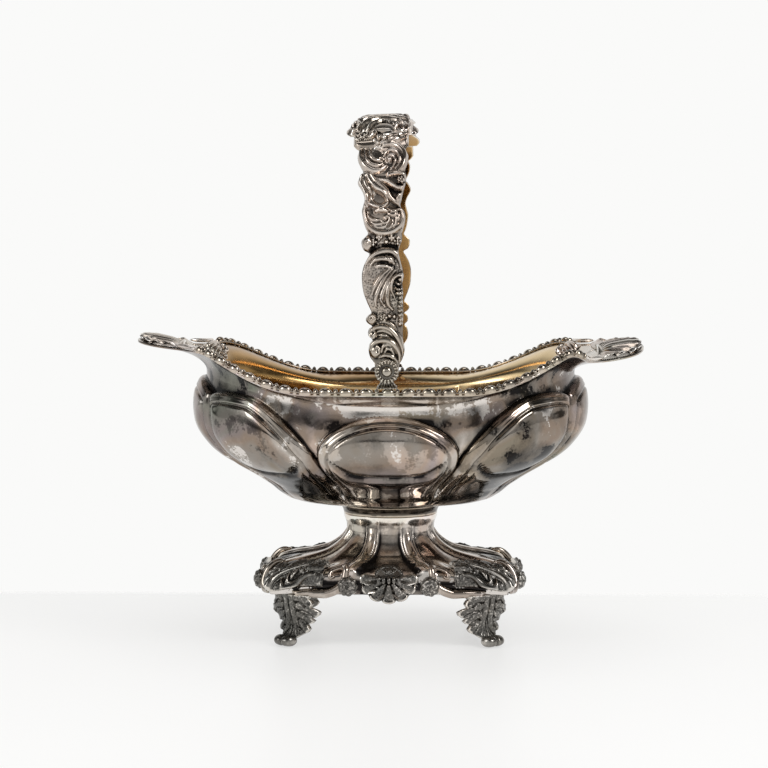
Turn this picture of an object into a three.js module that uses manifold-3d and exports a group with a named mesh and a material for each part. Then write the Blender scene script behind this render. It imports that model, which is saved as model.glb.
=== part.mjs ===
// A footed silver bonbon dish with a swing handle.
// Millimetres, +Z up, origin on the ground under the middle of the dish.
// The near side of the dish faces -Y, and its long axis runs along X.

import * as THREE from 'three';
import { mergeVertices } from 'three/addons/utils/BufferGeometryUtils.js';
import Module from 'manifold-3d';

const wasm = await Module();
wasm.setup();

// Bowl sizes
const earReach = 131;
const rimHalfLength = 104;
const rimHalfDepth = 89;
const rimSquareness = 2.75;
const neckHalfLength = 95.7;
const neckHalfDepth = 72;
const sheet = 1;
const bowlFloorZ = 68.7;
const bowlFloorShare = 0.28;
const sideNeckZ = 122;
const endNeckRise = 16;
const sideRimZ = 130.2;
const shoulderRimRise = 18.6;
const earTipRise = 4.6;
const rightEarDroop = 6;
const neckSweep = 80;

// Lobes raised on the belly
const lobeCount = 8;
const lobeHeight = 6.6;
const lobeDropBelowNeck = 2.5;
const sideNotchDrop = 24;
const endNotchDrop = 6;
const mouldingWidth = 5.8;
const mouldingRadius = 4;
const mouldingShare = 0.68;
const mouldingSlope = 0.08;
const creaseDepth = 0.8;
const creaseHalfWidth = 0.75;
const creaseReach = 2;
const lobeCornerBlend = 1.6;
const cushionCornerBlend = 1.2;
const slopeProbe = 0.25;
const steepestSlope = 3;
const cushionShare = 0.24;
const cushionRadius = 10;
const medallionFootZ = 92.2;
const medallionFootRise = 22;

// Rim ornament
const fitGap = 0.3;
const borderHeight = 2.4;
const borderWidth = 4.6;
const borderEndAngle = 24;
const borderOvals = 26;
const earShellThickness = 2.6;
const earShellInner = 0.42;
const earShellHalfAngle = 12.5;
const rimLeafThickness = 3;
const rimLeafMiddle = 19;
const rimLeafHalfAngle = 5;

// Stem and base
const collarRadius = 26.6;
const collarHeight = 4.8;
const collarWall = 3;
const stemTopRadius = 24.4;
const waistRadius = 23;
const waistZ = 57.5;
const baseHalfLength = 63;
const baseHalfDepth = 42;
const baseSquareness = 4.5;
const cornerSwell = 7;
const cornerSwellAngle = 12;
const cornerDroop = 4.5;
const cornerDroopAngle = 15;
const footingZ = 26.5;
const baseSheet = 1.1;
const ribHeight = 1.3;
const ribHalfAngle = 4.5;

// Ornament of the base
const shellWidth = 31;
const shellHeight = 17.5;
const shellThickness = 3;
const shellLobes = 7;
const shellBevel = 1;
const shellMiddleZ = footingZ + 5;
const ballRadius = 4.7;
const ballFromMiddle = 20.8;
const ballMiddleZ = footingZ + 4.8;
const ballFlatness = 0.7;
const scrollRadius = 2.3;
const longScrollAngles = [81, 58];
const shortScrollAngles = [20, 31];
const cornerLeafThickness = 2.2;
const cornerLeafHalfAngle = 21.5;
const cornerLeafSeat = 0.55;

// Feet
const footMiddleX = 48.3;
const footMiddleY = 35;
const footTurn = 50;
const toeRollRadius = 3.2;
const toeRollWidth = 11.5;
const toeOut = 7;
const footPadLength = 6;
const footPadWidth = 9;

// Swing handle
const hingeAboveRim = 12.3;
const hingeBehindRim = 1.2;
const hingeZ = sideRimZ + hingeAboveRim;
const hingeReach = rimHalfDepth + hingeBehindRim;
const strapEye = 2;
const strapEyeRadius = 5.6;
const archRise = 122.6;
const archSquareness = 3.6;
const handleThickness = 3;
const crownHalfLength = 60;
const crownHalfWidth = 17.8;
const crownThickness = 3;
const crownRelief = 1.3;
const crownEdge = 0.9;
const rosetteRadius = 6.1;
const rosetteDepth = 2.4;
const rosetteBeads = 14;
const pinRadius = 1.5;
const pinHeadRadius = 2.8;
const pinHeadDepth = 0.9;
const lugThickness = 2;
const lugEyeRadius = 4.6;
const lugFootWidth = 9.6;
const lugFootHeight = 1.1;
const handleLean = -1.4;

// Steps round the curved forms
const stepsPerLobe = [-1, -0.97, -0.88, -0.7, -0.35, 0, 0.35, 0.7, 0.88, 0.97];
const stepsPerEndLobe = [-1, -0.97, -0.88, -0.7, -0.45, -0.22, 0, 0.22, 0.45, 0.7, 0.88, 0.97];
const bellyRings = [0, 0.03, 0.1, 0.22, 0.36, 0.43, 0.52, 0.7, 0.85, 0.9, 0.95, 0.985, 1];
const neckRings = [0.3, 0.6, 0.8, 1];
const innerNeckRings = [1, 0.66, 0.3];
const innerBellyRings = [1, 0.95, 0.9, 0.85, 0.7, 0.43, 0.36, 0.22, 0.1, 0.03, 0];
const archStations = 31;
const crownStations = 24;
const crownSteps = 8;

const silver = new THREE.MeshStandardMaterial({ color: 0x6d6862, roughness: 0.3, metalness: 1 });
const paleSilver = new THREE.MeshStandardMaterial({ color: 0x8f877e, roughness: 0.32, metalness: 1 });
const darkSilver = new THREE.MeshStandardMaterial({ color: 0x4a4a46, roughness: 0.5, metalness: 1 });

const group = new THREE.Group();
const handle = new THREE.Group();

// Small helpers

const radians = (degrees) => degrees * Math.PI / 180;
const clamp01 = (value) => Math.min(1, Math.max(0, value));
const mix = (a, b, share) => a + (b - a) * share;
const hill = (distance, width) => Math.exp(-((distance / width) ** 2));

function smoothStep(from, to, value) {
  const t = clamp01((value - from) / (to - from));
  return t * t * (3 - 2 * t);
}

function signedPower(value, power) {
  return Math.sign(value) * Math.abs(value) ** power;
}

// A smooth curve through hand-set points, each with its own place t.
function curveThrough(points, t) {
  const last = points.length - 1;
  let i = 0;
  while (i < last - 1 && t > points[i + 1].t) {
    i += 1;
  }
  const before = points[Math.max(i - 1, 0)];
  const a = points[i];
  const b = points[i + 1];
  const after = points[Math.min(i + 2, last)];
  const u = clamp01((t - a.t) / (b.t - a.t));
  const slopeA = (b.value - before.value) / (b.t - before.t) * (b.t - a.t);
  const slopeB = (after.value - a.value) / (after.t - a.t) * (b.t - a.t);
  const u2 = u * u;
  const u3 = u2 * u;
  return (2 * u3 - 3 * u2 + 1) * a.value + (u3 - 2 * u2 + u) * slopeA
    + (3 * u2 - 2 * u3) * b.value + (u3 - u2) * slopeB;
}

function signedVolume(positions, triangles) {
  let volume = 0;
  const [a, b, c] = [new THREE.Vector3(), new THREE.Vector3(), new THREE.Vector3()];
  for (let i = 0; i < triangles.length; i += 3) {
    a.fromArray(positions, 3 * triangles[i]);
    b.fromArray(positions, 3 * triangles[i + 1]);
    c.fromArray(positions, 3 * triangles[i + 2]);
    volume += a.dot(b.cross(c));
  }
  return volume;
}

function closedGeometry(positions, triangles) {
  if (signedVolume(positions, triangles) < 0) {
    triangles.reverse();
  }
  const geometry = new THREE.BufferGeometry();
  geometry.setAttribute('position', new THREE.Float32BufferAttribute(positions, 3));
  geometry.setIndex(triangles);
  return geometry;
}

// A body skinned over a row of closed rings, shut by a point or a cap at each end.
function ringBody(rings, firstPoint, lastPoint) {
  const positions = [];
  const triangles = [];
  const size = rings[0].length;
  for (const ring of rings) {
    for (const point of ring) {
      positions.push(point.x, point.y, point.z);
    }
  }
  for (let row = 0; row < rings.length - 1; row += 1) {
    for (let i = 0; i < size; i += 1) {
      const next = (i + 1) % size;
      const a = row * size + i;
      const b = row * size + next;
      const c = a + size;
      const d = b + size;
      triangles.push(a, b, d, a, d, c);
    }
  }
  const first = positions.length / 3;
  positions.push(firstPoint.x, firstPoint.y, firstPoint.z);
  positions.push(lastPoint.x, lastPoint.y, lastPoint.z);
  const top = (rings.length - 1) * size;
  for (let i = 0; i < size; i += 1) {
    const next = (i + 1) % size;
    triangles.push(first, next, i);
    triangles.push(first + 1, top + i, top + next);
  }
  return closedGeometry(positions, triangles);
}

function middleOf(ring) {
  const middle = new THREE.Vector3();
  for (const point of ring) {
    middle.add(point);
  }
  return middle.divideScalar(ring.length);
}

function sweptBody(rings) {
  return ringBody(rings, middleOf(rings[0]), middleOf(rings[rings.length - 1]));
}

// A plate between an upper and a lower skin, both given over u and v from 0 to 1.
function plateBody(upper, lower, stepsU, stepsV) {
  const rings = [];
  for (let i = 0; i <= stepsU; i += 1) {
    const ring = [];
    for (let j = 0; j <= stepsV; j += 1) {
      ring.push(upper(i / stepsU, j / stepsV));
    }
    for (let j = stepsV; j >= 0; j -= 1) {
      ring.push(lower(i / stepsU, j / stepsV));
    }
    rings.push(ring);
  }
  const positions = [];
  const triangles = [];
  const size = rings[0].length;
  for (const ring of rings) {
    for (const point of ring) {
      positions.push(point.x, point.y, point.z);
    }
  }
  for (let row = 0; row < stepsU; row += 1) {
    for (let i = 0; i < size; i += 1) {
      const a = row * size + i;
      const b = row * size + (i + 1) % size;
      triangles.push(a, b, b + size, a, b + size, a + size);
    }
  }
  for (let j = 0; j < stepsV; j += 1) {
    const a = j;
    const b = size - 1 - j;
    triangles.push(a, b, b - 1, a, b - 1, a + 1);
    const c = stepsU * size + j;
    const d = stepsU * size + size - 1 - j;
    triangles.push(c, d - 1, d, c, c + 1, d - 1);
  }
  return closedGeometry(positions, triangles);
}

function toSolid(geometry) {
  const bare = geometry.clone();
  bare.deleteAttribute('normal');
  bare.deleteAttribute('uv');
  const merged = mergeVertices(bare, 1e-4);
  return new wasm.Manifold(new wasm.Mesh({
    numProp: 3,
    vertProperties: new Float32Array(merged.attributes.position.array),
    triVerts: new Uint32Array(merged.index.array),
  }));
}

function toGeometry(solid) {
  const mesh = solid.getMesh();
  const geometry = new THREE.BufferGeometry();
  geometry.setAttribute('position', new THREE.BufferAttribute(new Float32Array(mesh.vertProperties), 3));
  geometry.setIndex(new THREE.BufferAttribute(new Uint32Array(mesh.triVerts), 1));
  return geometry;
}

function addPiece(parent, name, geometry, material) {
  const mesh = new THREE.Mesh(geometry, material);
  mesh.name = name;
  parent.add(mesh);
  return mesh;
}

// A disc or rod whose axis runs along Y.
function rodAlongY(radius, depth, middle, sides) {
  const rod = new THREE.CylinderGeometry(radius, radius, depth, sides);
  rod.translate(middle.x, middle.y, middle.z);
  return rod;
}

// Bowl: every point has an angle round the dish and a height share.
// Heights 0 to 1 run up the belly, and 1 to 2 up the neck to the rim.

const bellyShape = [
  { t: 0, value: bowlFloorShare },
  { t: 0.025, value: 0.49 },
  { t: 0.08, value: 0.58 },
  { t: 0.18, value: 0.645 },
  { t: 0.3, value: 0.735 },
  { t: 0.41, value: 0.845 },
  { t: 0.52, value: 0.94 },
  { t: 0.66, value: 1 },
  { t: 1, value: 1 },
];

function foldedAngle(angle) {
  const turned = ((angle % 180) + 180) % 180;
  return turned > 90 ? 180 - turned : turned;
}

function neckZ(angle) {
  return sideNeckZ + endNeckRise * Math.cos(radians(angle)) ** 2;
}

// The near half of the right ear hangs lower, as hand-bent on this dish.
function earDroop(angle) {
  const signed = ((angle + 180) % 360 + 360) % 360 - 180;
  return rightEarDroop * smoothStep(-38, -12, signed) * (1 - smoothStep(-12, 14, signed));
}

function rimPoint(angle) {
  const folded = foldedAngle(angle);
  const cosine = Math.cos(radians(angle));
  const sine = Math.sin(radians(angle));
  const tongue = (earReach - rimHalfLength) * Math.exp(-((folded / 11.5) ** 3));
  const x = rimHalfLength * signedPower(cosine, 2 / rimSquareness) + Math.sign(cosine) * tongue;
  const y = rimHalfDepth * signedPower(sine, 2 / rimSquareness);
  const shoulder = shoulderRimRise * (1 - smoothStep(28, 76, folded));
  const ear = earTipRise * hill(folded, 9.5);
  return new THREE.Vector3(x, y, sideRimZ + shoulder + ear - earDroop(angle));
}

function bowlBase(angle, height) {
  const cosine = Math.cos(radians(angle));
  const sine = Math.sin(radians(angle));
  const neck = neckZ(angle);
  if (height <= 1) {
    const share = curveThrough(bellyShape, height);
    const z = mix(bowlFloorZ, neck, height);
    return new THREE.Vector3(neckHalfLength * share * cosine, neckHalfDepth * share * sine, z);
  }
  const turn = radians(neckSweep) * (height - 1);
  const out = (1 - Math.cos(turn)) / (1 - Math.cos(radians(neckSweep)));
  const up = Math.sin(turn) / Math.sin(radians(neckSweep));
  const rim = rimPoint(angle);
  return new THREE.Vector3(
    mix(neckHalfLength * cosine, rim.x, out),
    mix(neckHalfDepth * sine, rim.y, out),
    mix(neck, rim.z, up),
  );
}

function bowlNormal(angle, height) {
  const step = 0.01;
  const above = bowlBase(angle, Math.min(height + step, 2));
  const along = above.sub(bowlBase(angle, Math.max(height - step, 0)));
  const round = bowlBase(angle + 1, height).sub(bowlBase(angle - 1, height));
  return round.cross(along).normalize();
}

// How high up a meridian the lobe reaches, as a height share.
function lobeTop(angle) {
  const lobeAngle = 360 / lobeCount;
  const nearest = Math.round(angle / lobeAngle);
  const side = (angle - nearest * lobeAngle) / (lobeAngle / 2);
  const kind = ((nearest % 4) + 4) % 4;
  const towardSide = kind === 2 || (kind === 1 && side > 0) || (kind === 3 && side < 0);
  const drop = towardSide ? sideNotchDrop : endNotchDrop;
  const roundness = kind === 2 ? 2 : 1.6;
  const arch = 1 - (1 - Math.abs(side) ** roundness) ** (1 / roundness + 0.15);
  const neck = neckZ(angle);
  const top = neck - lobeDropBelowNeck - drop * arch;
  return { side, share: (top - bowlFloorZ) / (neck - bowlFloorZ), rise: neck - bowlFloorZ };
}

function quarterRound(distance, radius) {
  const t = clamp01(distance / radius);
  return Math.sqrt(1 - (1 - t) ** 2);
}

// The lesser of two values, with the change from one to the other rounded off.
function softLeast(a, b, blend) {
  const share = clamp01(0.5 + 0.5 * (b - a) / blend);
  return mix(b, a, share) - blend * share * (1 - share);
}

// How far the lobe stands out of the plain belly: a rounded moulding, a crease and a cushion inside.
function lobeLift(angle, height) {
  const top = lobeTop(angle);
  if (height >= top.share) {
    return 0;
  }
  const girth = curveThrough(bellyShape, height) * mix(neckHalfDepth, neckHalfLength, 0.5);
  const fromSide = (1 - Math.abs(top.side)) * girth * radians(180 / lobeCount);
  const ahead = lobeTop(angle + slopeProbe);
  const behind = lobeTop(angle - slopeProbe);
  const gain = ahead.share * ahead.rise - behind.share * behind.rise;
  const slope = Math.min(Math.abs(gain) / (girth * radians(2 * slopeProbe)), steepestSlope);
  const fromTop = (top.share - height) * top.rise / Math.hypot(1, slope);
  const inward = softLeast(fromSide, fromTop, lobeCornerBlend);
  const level = mix(bowlFloorZ, neckZ(angle), height);
  const foot = medallionFootZ + medallionFootRise * top.side ** 4;
  const inner = softLeast(inward - mouldingWidth, Math.abs(level - foot), cushionCornerBlend);
  const step = mouldingShare * quarterRound(inward, mouldingRadius)
    + mouldingSlope * smoothStep(mouldingRadius, mouldingWidth, inward);
  const cushion = cushionShare * quarterRound(inner, cushionRadius);
  const crease = inward > mouldingWidth - creaseReach ? creaseDepth * hill(inner, creaseHalfWidth) : 0;
  const swell = lobeHeight * smoothStep(-0.02, 0.45, height);
  return swell * (step + cushion) - crease * smoothStep(0.1, 0.3, height);
}

// Positive lift goes out and down, away from the inside of the bowl.
function bowlSkin(angle, height, lift) {
  const base = bowlBase(angle, height);
  const out = bowlNormal(angle, height);
  return base.addScaledVector(out, lobeLift(angle, height) + lift);
}

function lobeAngles() {
  const angles = [];
  const half = 180 / lobeCount;
  for (let lobe = 0; lobe < lobeCount; lobe += 1) {
    const atEnd = lobe % (lobeCount / 2) === 0;
    for (const step of atEnd ? stepsPerEndLobe : stepsPerLobe) {
      angles.push(lobe * 2 * half + step * half);
    }
  }
  return angles;
}

function bowlGeometry() {
  const angles = lobeAngles();
  const heights = (angle, share) => share * lobeTop(angle).share;
  const rings = [];
  for (const share of bellyRings) {
    rings.push(angles.map((angle) => bowlSkin(angle, heights(angle, share), 0)));
  }
  rings.push(angles.map((angle) => bowlSkin(angle, mix(lobeTop(angle).share, 1, 0.5), 0)));
  rings.push(angles.map((angle) => bowlSkin(angle, 1, 0)));
  for (const share of neckRings) {
    rings.push(angles.map((angle) => bowlSkin(angle, 1 + share, 0)));
  }
  for (const share of innerNeckRings) {
    rings.push(angles.map((angle) => bowlSkin(angle, 1 + share, -sheet)));
  }
  for (const share of innerBellyRings) {
    rings.push(angles.map((angle) => bowlSkin(angle, heights(angle, share), -sheet)));
  }
  const under = new THREE.Vector3(0, 0, middleOf(rings[0]).z);
  const inside = new THREE.Vector3(0, 0, middleOf(rings[rings.length - 1]).z);
  return ringBody(rings, under, inside);
}

// Cast border that runs along the rim between the ears.

function rimFrame(angle) {
  const edge = bowlSkin(angle, 2, -sheet);
  const inward = bowlSkin(angle, 1.9, -sheet).sub(edge).normalize();
  const up = bowlNormal(angle, 2).negate();
  return { edge, inward, up };
}

function borderRing(angle, swell) {
  const { edge, inward, up } = rimFrame(angle);
  const high = borderHeight * swell;
  const outline = [
    [-0.1, fitGap],
    [-0.5, fitGap + high * 0.6],
    [0.24 * borderWidth, fitGap + high],
    [0.7 * borderWidth, fitGap + high],
    [borderWidth, fitGap + high * 0.5],
    [borderWidth - 0.3, fitGap],
  ];
  return outline.map(([a, b]) => edge.clone().addScaledVector(inward, a).addScaledVector(up, b));
}

function borderGeometry(direction) {
  const rings = [];
  const steps = borderOvals * 2;
  for (let i = 0; i <= steps; i += 1) {
    const angle = mix(borderEndAngle, 180 - borderEndAngle, i / steps);
    const swell = i % 2 === 0 ? 0.72 : 1;
    rings.push(borderRing(direction * angle, swell));
  }
  return sweptBody(rings);
}

// Cast shell on each ear, ribbed like a fan.
function earShellGeometry(middleAngle) {
  const place = (u, v) => {
    const spread = Math.sqrt(Math.max(1 - (1 - v) ** 2 * 0.75, 0));
    const side = 2 * u - 1;
    const angle = middleAngle + side * earShellHalfAngle * spread;
    const reach = mix(earShellInner, 0.985 - 0.03 * side * side, v);
    return { angle, height: 1 + reach };
  };
  const upper = (u, v) => {
    const { angle, height } = place(u, v);
    const rib = 0.72 + 0.28 * Math.cos(u * 8 * Math.PI);
    const crest = earShellThickness * rib * mix(0.35, 1, Math.sin(v * Math.PI * 0.8));
    return bowlSkin(angle, height, -(sheet + fitGap + crest));
  };
  const lower = (u, v) => {
    const { angle, height } = place(u, v);
    return bowlSkin(angle, height, -(sheet + fitGap));
  };
  return plateBody(upper, lower, 16, 4);
}

// Leaf scroll that flanks an ear on the inside of the rim.
function rimLeafGeometry(middleAngle) {
  const place = (u, v) => {
    const narrow = 0.35 + 0.65 * Math.sin(Math.PI * (0.12 + 0.76 * v));
    return {
      angle: middleAngle + (2 * u - 1) * rimLeafHalfAngle * narrow,
      height: 1 + mix(0.25, 0.72, v),
    };
  };
  const upper = (u, v) => {
    const { angle, height } = place(u, v);
    const ridge = 0.45 + 0.55 * Math.sin(u * Math.PI) * (0.8 + 0.2 * Math.cos(v * 4 * Math.PI));
    return bowlSkin(angle, height, -(sheet + fitGap + rimLeafThickness * ridge));
  };
  const lower = (u, v) => {
    const { angle, height } = place(u, v);
    return bowlSkin(angle, height, -(sheet + fitGap));
  };
  return plateBody(upper, lower, 6, 6);
}

// Moulded collar ring under the bowl.
function collarGeometry() {
  const top = bowlFloorZ - fitGap;
  const bottom = top - collarHeight;
  const bore = stemTopRadius - collarWall;
  const profile = [
    [bore, bottom],
    [stemTopRadius, bottom],
    [collarRadius - 0.9, bottom + 0.1 * collarHeight],
    [collarRadius - 0.7, bottom + 0.4 * collarHeight],
    [collarRadius, bottom + 0.6 * collarHeight],
    [collarRadius, bottom + 0.85 * collarHeight],
    [collarRadius - 0.8, top],
    [bore, top],
    [bore, bottom],
  ];
  return new THREE.LatheGeometry(profile.map(([r, z]) => new THREE.Vector2(r, z)), 32).rotateX(Math.PI / 2);
}

// Pedestal: a round waist that spreads to an oblong base with four swelled corners.
// Fall runs from 0 at the top to 1 at the bottom edge.

const stemTopZ = bowlFloorZ - fitGap - collarHeight - fitGap;

const spreadShape = [
  { t: 0, value: 0 },
  { t: 0.12, value: 0 },
  { t: 0.25, value: 0.012 },
  { t: 0.38, value: 0.09 },
  { t: 0.52, value: 0.245 },
  { t: 0.64, value: 0.43 },
  { t: 0.82, value: 0.8 },
  { t: 0.91, value: 0.955 },
  { t: 0.96, value: 1 },
  { t: 1, value: 0.985 },
];

const fallShape = [
  { t: 0, value: stemTopZ },
  { t: 0.12, value: waistZ },
  { t: 0.25, value: mix(footingZ, waistZ, 0.871) },
  { t: 0.38, value: mix(footingZ, waistZ, 0.726) },
  { t: 0.52, value: mix(footingZ, waistZ, 0.584) },
  { t: 0.64, value: mix(footingZ, waistZ, 0.506) },
  { t: 0.82, value: mix(footingZ, waistZ, 0.4) },
  { t: 0.91, value: mix(footingZ, waistZ, 0.3) },
  { t: 0.96, value: mix(footingZ, waistZ, 0.145) },
  { t: 1, value: footingZ },
];

function baseEdge(angle) {
  const folded = foldedAngle(angle);
  const cosine = Math.cos(radians(angle));
  const sine = Math.sin(radians(angle));
  const corner = cornerSwell * hill(folded - 45, cornerSwellAngle);
  const along = signedPower(cosine, 2 / baseSquareness);
  const across = signedPower(sine, 2 / baseSquareness);
  return new THREE.Vector2(along * (baseHalfLength + corner), across * (baseHalfDepth + corner));
}

function ribLift(angle, fall) {
  const lobeAngle = 360 / lobeCount;
  const fromRib = Math.abs(foldedAngle(angle) % lobeAngle - lobeAngle / 2);
  const shows = smoothStep(0.05, 0.2, fall) * (1 - smoothStep(0.7, 0.9, fall));
  return ribHeight * hill(fromRib, ribHalfAngle) * shows;
}

// How far the corners of the base hang below its sides.
function cornerDroopAt(angle, fall) {
  const shows = smoothStep(0.4, 0.82, fall) * (1 - smoothStep(0.93, 1, fall));
  return cornerDroop * hill(foldedAngle(angle) - 45, cornerDroopAngle) * shows;
}

function pedestalBase(angle, fall) {
  const cosine = Math.cos(radians(angle));
  const sine = Math.sin(radians(angle));
  const start = mix(stemTopRadius, waistRadius, smoothStep(0, 0.12, fall));
  const spread = curveThrough(spreadShape, fall);
  const edge = baseEdge(angle);
  return new THREE.Vector3(
    mix(start * cosine, edge.x, spread),
    mix(start * sine, edge.y, spread),
    curveThrough(fallShape, fall) - cornerDroopAt(angle, fall),
  );
}

function pedestalNormal(angle, fall) {
  const step = 0.02;
  const below = pedestalBase(angle, Math.min(fall + step, 1));
  const along = below.sub(pedestalBase(angle, Math.max(fall - step, 0)));
  const round = pedestalBase(angle + 1, fall).sub(pedestalBase(angle - 1, fall));
  return along.cross(round).normalize();
}

function pedestalSkin(angle, fall, lift) {
  const out = pedestalNormal(angle, fall);
  return pedestalBase(angle, fall).addScaledVector(out, ribLift(angle, fall) + lift);
}

function pedestalAngles() {
  const half = 180 / lobeCount;
  const steps = [-1, -0.9, -0.74, -0.35, 0, 0.35, 0.74, 0.9];
  const lobes = Array.from({ length: lobeCount }, (_, lobe) => 2 * lobe);
  return lobes.flatMap((lobe) => steps.map((step) => (lobe + step) * half));
}

function pedestalGeometry() {
  const angles = pedestalAngles();
  const outer = [0, 0.12, 0.25, 0.38, 0.52, 0.64, 0.76, 0.86, 0.93, 0.96, 1];
  const inner = [1, 0.9, 0.76, 0.6, 0.42, 0.25];
  const rings = outer.map((fall) => angles.map((angle) => pedestalSkin(angle, fall, 0)));
  for (const fall of inner) {
    rings.push(angles.map((angle) => {
      const point = pedestalSkin(angle, fall, -baseSheet);
      point.z = Math.max(point.z, footingZ);
      return point;
    }));
  }
  const top = new THREE.Vector3(0, 0, stemTopZ);
  const hollow = new THREE.Vector3(0, 0, middleOf(rings[rings.length - 1]).z + baseSheet);
  return ringBody(rings, top, hollow);
}

// Scallop shell at the middle of each side of the base, modelled facing -Y at the origin.
function shellOutline() {
  const shape = new THREE.Shape();
  const half = shellWidth / 2;
  shape.moveTo(-half * 0.45, shellHeight / 2);
  for (let lobe = 0; lobe < shellLobes; lobe += 1) {
    const from = mix(-100, 100, lobe / shellLobes);
    const to = mix(-100, 100, (lobe + 1) / shellLobes);
    const rim = (degrees, share) => [
      half * share * Math.sin(radians(degrees)),
      shellHeight * (0.22 - 0.72 * share * Math.cos(radians(degrees))),
    ];
    shape.lineTo(...rim(from, 0.9));
    shape.quadraticCurveTo(...rim((from + to) / 2, 1.16), ...rim(to, 0.9));
  }
  shape.lineTo(half * 0.45, shellHeight / 2);
  return shape;
}

function baseShellGeometry() {
  const options = {
    depth: shellThickness - 2 * shellBevel,
    bevelEnabled: true,
    bevelThickness: shellBevel,
    bevelSize: shellBevel,
    bevelOffset: -shellBevel,
    bevelSegments: 1,
    curveSegments: 3,
  };
  const shell = new THREE.ExtrudeGeometry(shellOutline(), options);
  return shell.rotateX(Math.PI / 2);
}

// Outward direction and place of the base edge in plan.
function edgeFrame(angle) {
  const here = baseEdge(angle);
  const along = baseEdge(angle + 0.5).sub(baseEdge(angle - 0.5)).normalize();
  return { here, out: new THREE.Vector2(along.y, -along.x) };
}

// A round bar along points, thicker where the radius function says.
function barBody(points, radiusAt, sides) {
  const path = new THREE.CatmullRomCurve3(points);
  const steps = (points.length - 1) * 2;
  const frames = path.computeFrenetFrames(steps, false);
  const rings = [];
  for (let i = 0; i <= steps; i += 1) {
    const middle = path.getPointAt(i / steps);
    const ring = [];
    for (let j = 0; j < sides; j += 1) {
      const turn = 2 * Math.PI * j / sides;
      const radius = radiusAt(i / steps);
      ring.push(middle.clone()
        .addScaledVector(frames.normals[i], radius * Math.cos(turn))
        .addScaledVector(frames.binormals[i], radius * Math.sin(turn)));
    }
    rings.push(ring);
  }
  return sweptBody(rings);
}

// C-scroll that edges the base from a ball to a corner, in the quarter where x and y are positive.
function baseScrollGeometry(fromAngle, toAngle) {
  const points = [];
  const steps = 5;
  for (let i = 0; i <= steps; i += 1) {
    const { here, out } = edgeFrame(mix(fromAngle, toAngle, i / steps));
    const clear = here.clone().addScaledVector(out, scrollRadius + fitGap);
    const rise = 1.6 * Math.sin(Math.PI * i / steps);
    points.push(new THREE.Vector3(clear.x, clear.y, footingZ + scrollRadius + rise));
  }
  return barBody(points, (share) => scrollRadius * mix(0.62, 1, share), 6);
}

// Acanthus leaf that saddles a corner ridge of the base.
function cornerLeafGeometry() {
  const place = (u, v) => {
    const side = 2 * u - 1;
    const width = cornerLeafHalfAngle * (0.3 + 0.7 * Math.sin(Math.PI * (0.1 + 0.75 * v)));
    const droop = 0.05 * Math.abs(Math.sin(side * 5)) * (1 - v);
    return { side, angle: 45 + side * width, fall: mix(0.66, 0.95, v) + droop };
  };
  const upper = (u, v) => {
    const { side, angle, fall } = place(u, v);
    const flank = 0.4 + 0.6 * Math.sin(Math.PI * Math.abs(side));
    const veins = 0.86 + 0.14 * Math.cos(v * 7 * Math.PI);
    const roll = 1.2 * hill(v - 0.95, 0.12) * hill(side, 0.35);
    return pedestalSkin(angle, fall, cornerLeafSeat + cornerLeafThickness * (flank * veins + roll));
  };
  const lower = (u, v) => {
    const { angle, fall } = place(u, v);
    return pedestalSkin(angle, fall, cornerLeafSeat);
  };
  return plateBody(upper, lower, 12, 7);
}

// Leaf foot, modelled facing +X with its top centre over the origin.
const footSections = [
  { z: 1, out: 3.2, wide: 20, thick: 13 },
  { z: 0.92, out: 3.2, wide: 20, thick: 13 },
  { z: 0.84, out: 0.6, wide: 29, thick: 6 },
  { z: 0.64, out: -0.8, wide: 25, thick: 6 },
  { z: 0.44, out: -2.4, wide: 16, thick: 5.6 },
  { z: 0.26, out: -1, wide: 11, thick: 5.6 },
  { z: 0.12, out: 2, wide: 10, thick: 6 },
];

function footRing(z, out, wide, thick) {
  const ring = [];
  const sides = 10;
  for (let i = 0; i < sides; i += 1) {
    const turn = 2 * Math.PI * i / sides;
    const crest = Math.cos(turn) > 0 ? 1.15 : 0.75;
    ring.push(new THREE.Vector3(out + thick / 2 * crest * Math.cos(turn), wide / 2 * Math.sin(turn), z));
  }
  return ring;
}

function footGeometry() {
  const height = footingZ - fitGap;
  const rings = footSections.map(({ z, out, wide, thick }) => footRing(z * height, out, wide, thick));
  rings.push(footRing(0, toeOut * 0.55, footPadWidth, footPadLength));
  const roll = rodAlongY(toeRollRadius, toeRollWidth, new THREE.Vector3(0, 0, 0), 12);
  roll.translate(toeOut, 0, toeRollRadius + 0.2);
  return toGeometry(toSolid(sweptBody(rings)).add(toSolid(roll)));
}

// Swing handle: an arch in the plane X = 0, followed by its length from the near hinge.
const innerReach = hingeReach - strapEye / 2;

function archTable() {
  const samples = [];
  const count = 360;
  let length = 0;
  for (let i = 0; i <= count; i += 1) {
    const turn = Math.PI * i / count;
    const y = -innerReach * signedPower(Math.cos(turn), 2 / archSquareness);
    const z = archRise * Math.abs(Math.sin(turn)) ** (2 / archSquareness);
    if (i > 0) {
      length += Math.hypot(y - samples[i - 1].y, z - samples[i - 1].z);
    }
    samples.push({ y, z, length });
  }
  return samples;
}

const arch = archTable();
const archLength = arch[arch.length - 1].length;

function archFrame(length) {
  let i = 1;
  while (i < arch.length - 1 && arch[i].length < length) {
    i += 1;
  }
  const [a, b] = [arch[i - 1], arch[i]];
  const share = (length - a.length) / (b.length - a.length);
  const point = new THREE.Vector3(0, mix(a.y, b.y, share), mix(a.z, b.z, share));
  const along = new THREE.Vector3(0, b.y - a.y, b.z - a.z).normalize();
  return { point, out: new THREE.Vector3(0, -along.z, along.y) };
}

function lengthToCrown() {
  return arch.find((sample) => -sample.y < crownHalfLength).length;
}

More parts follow.
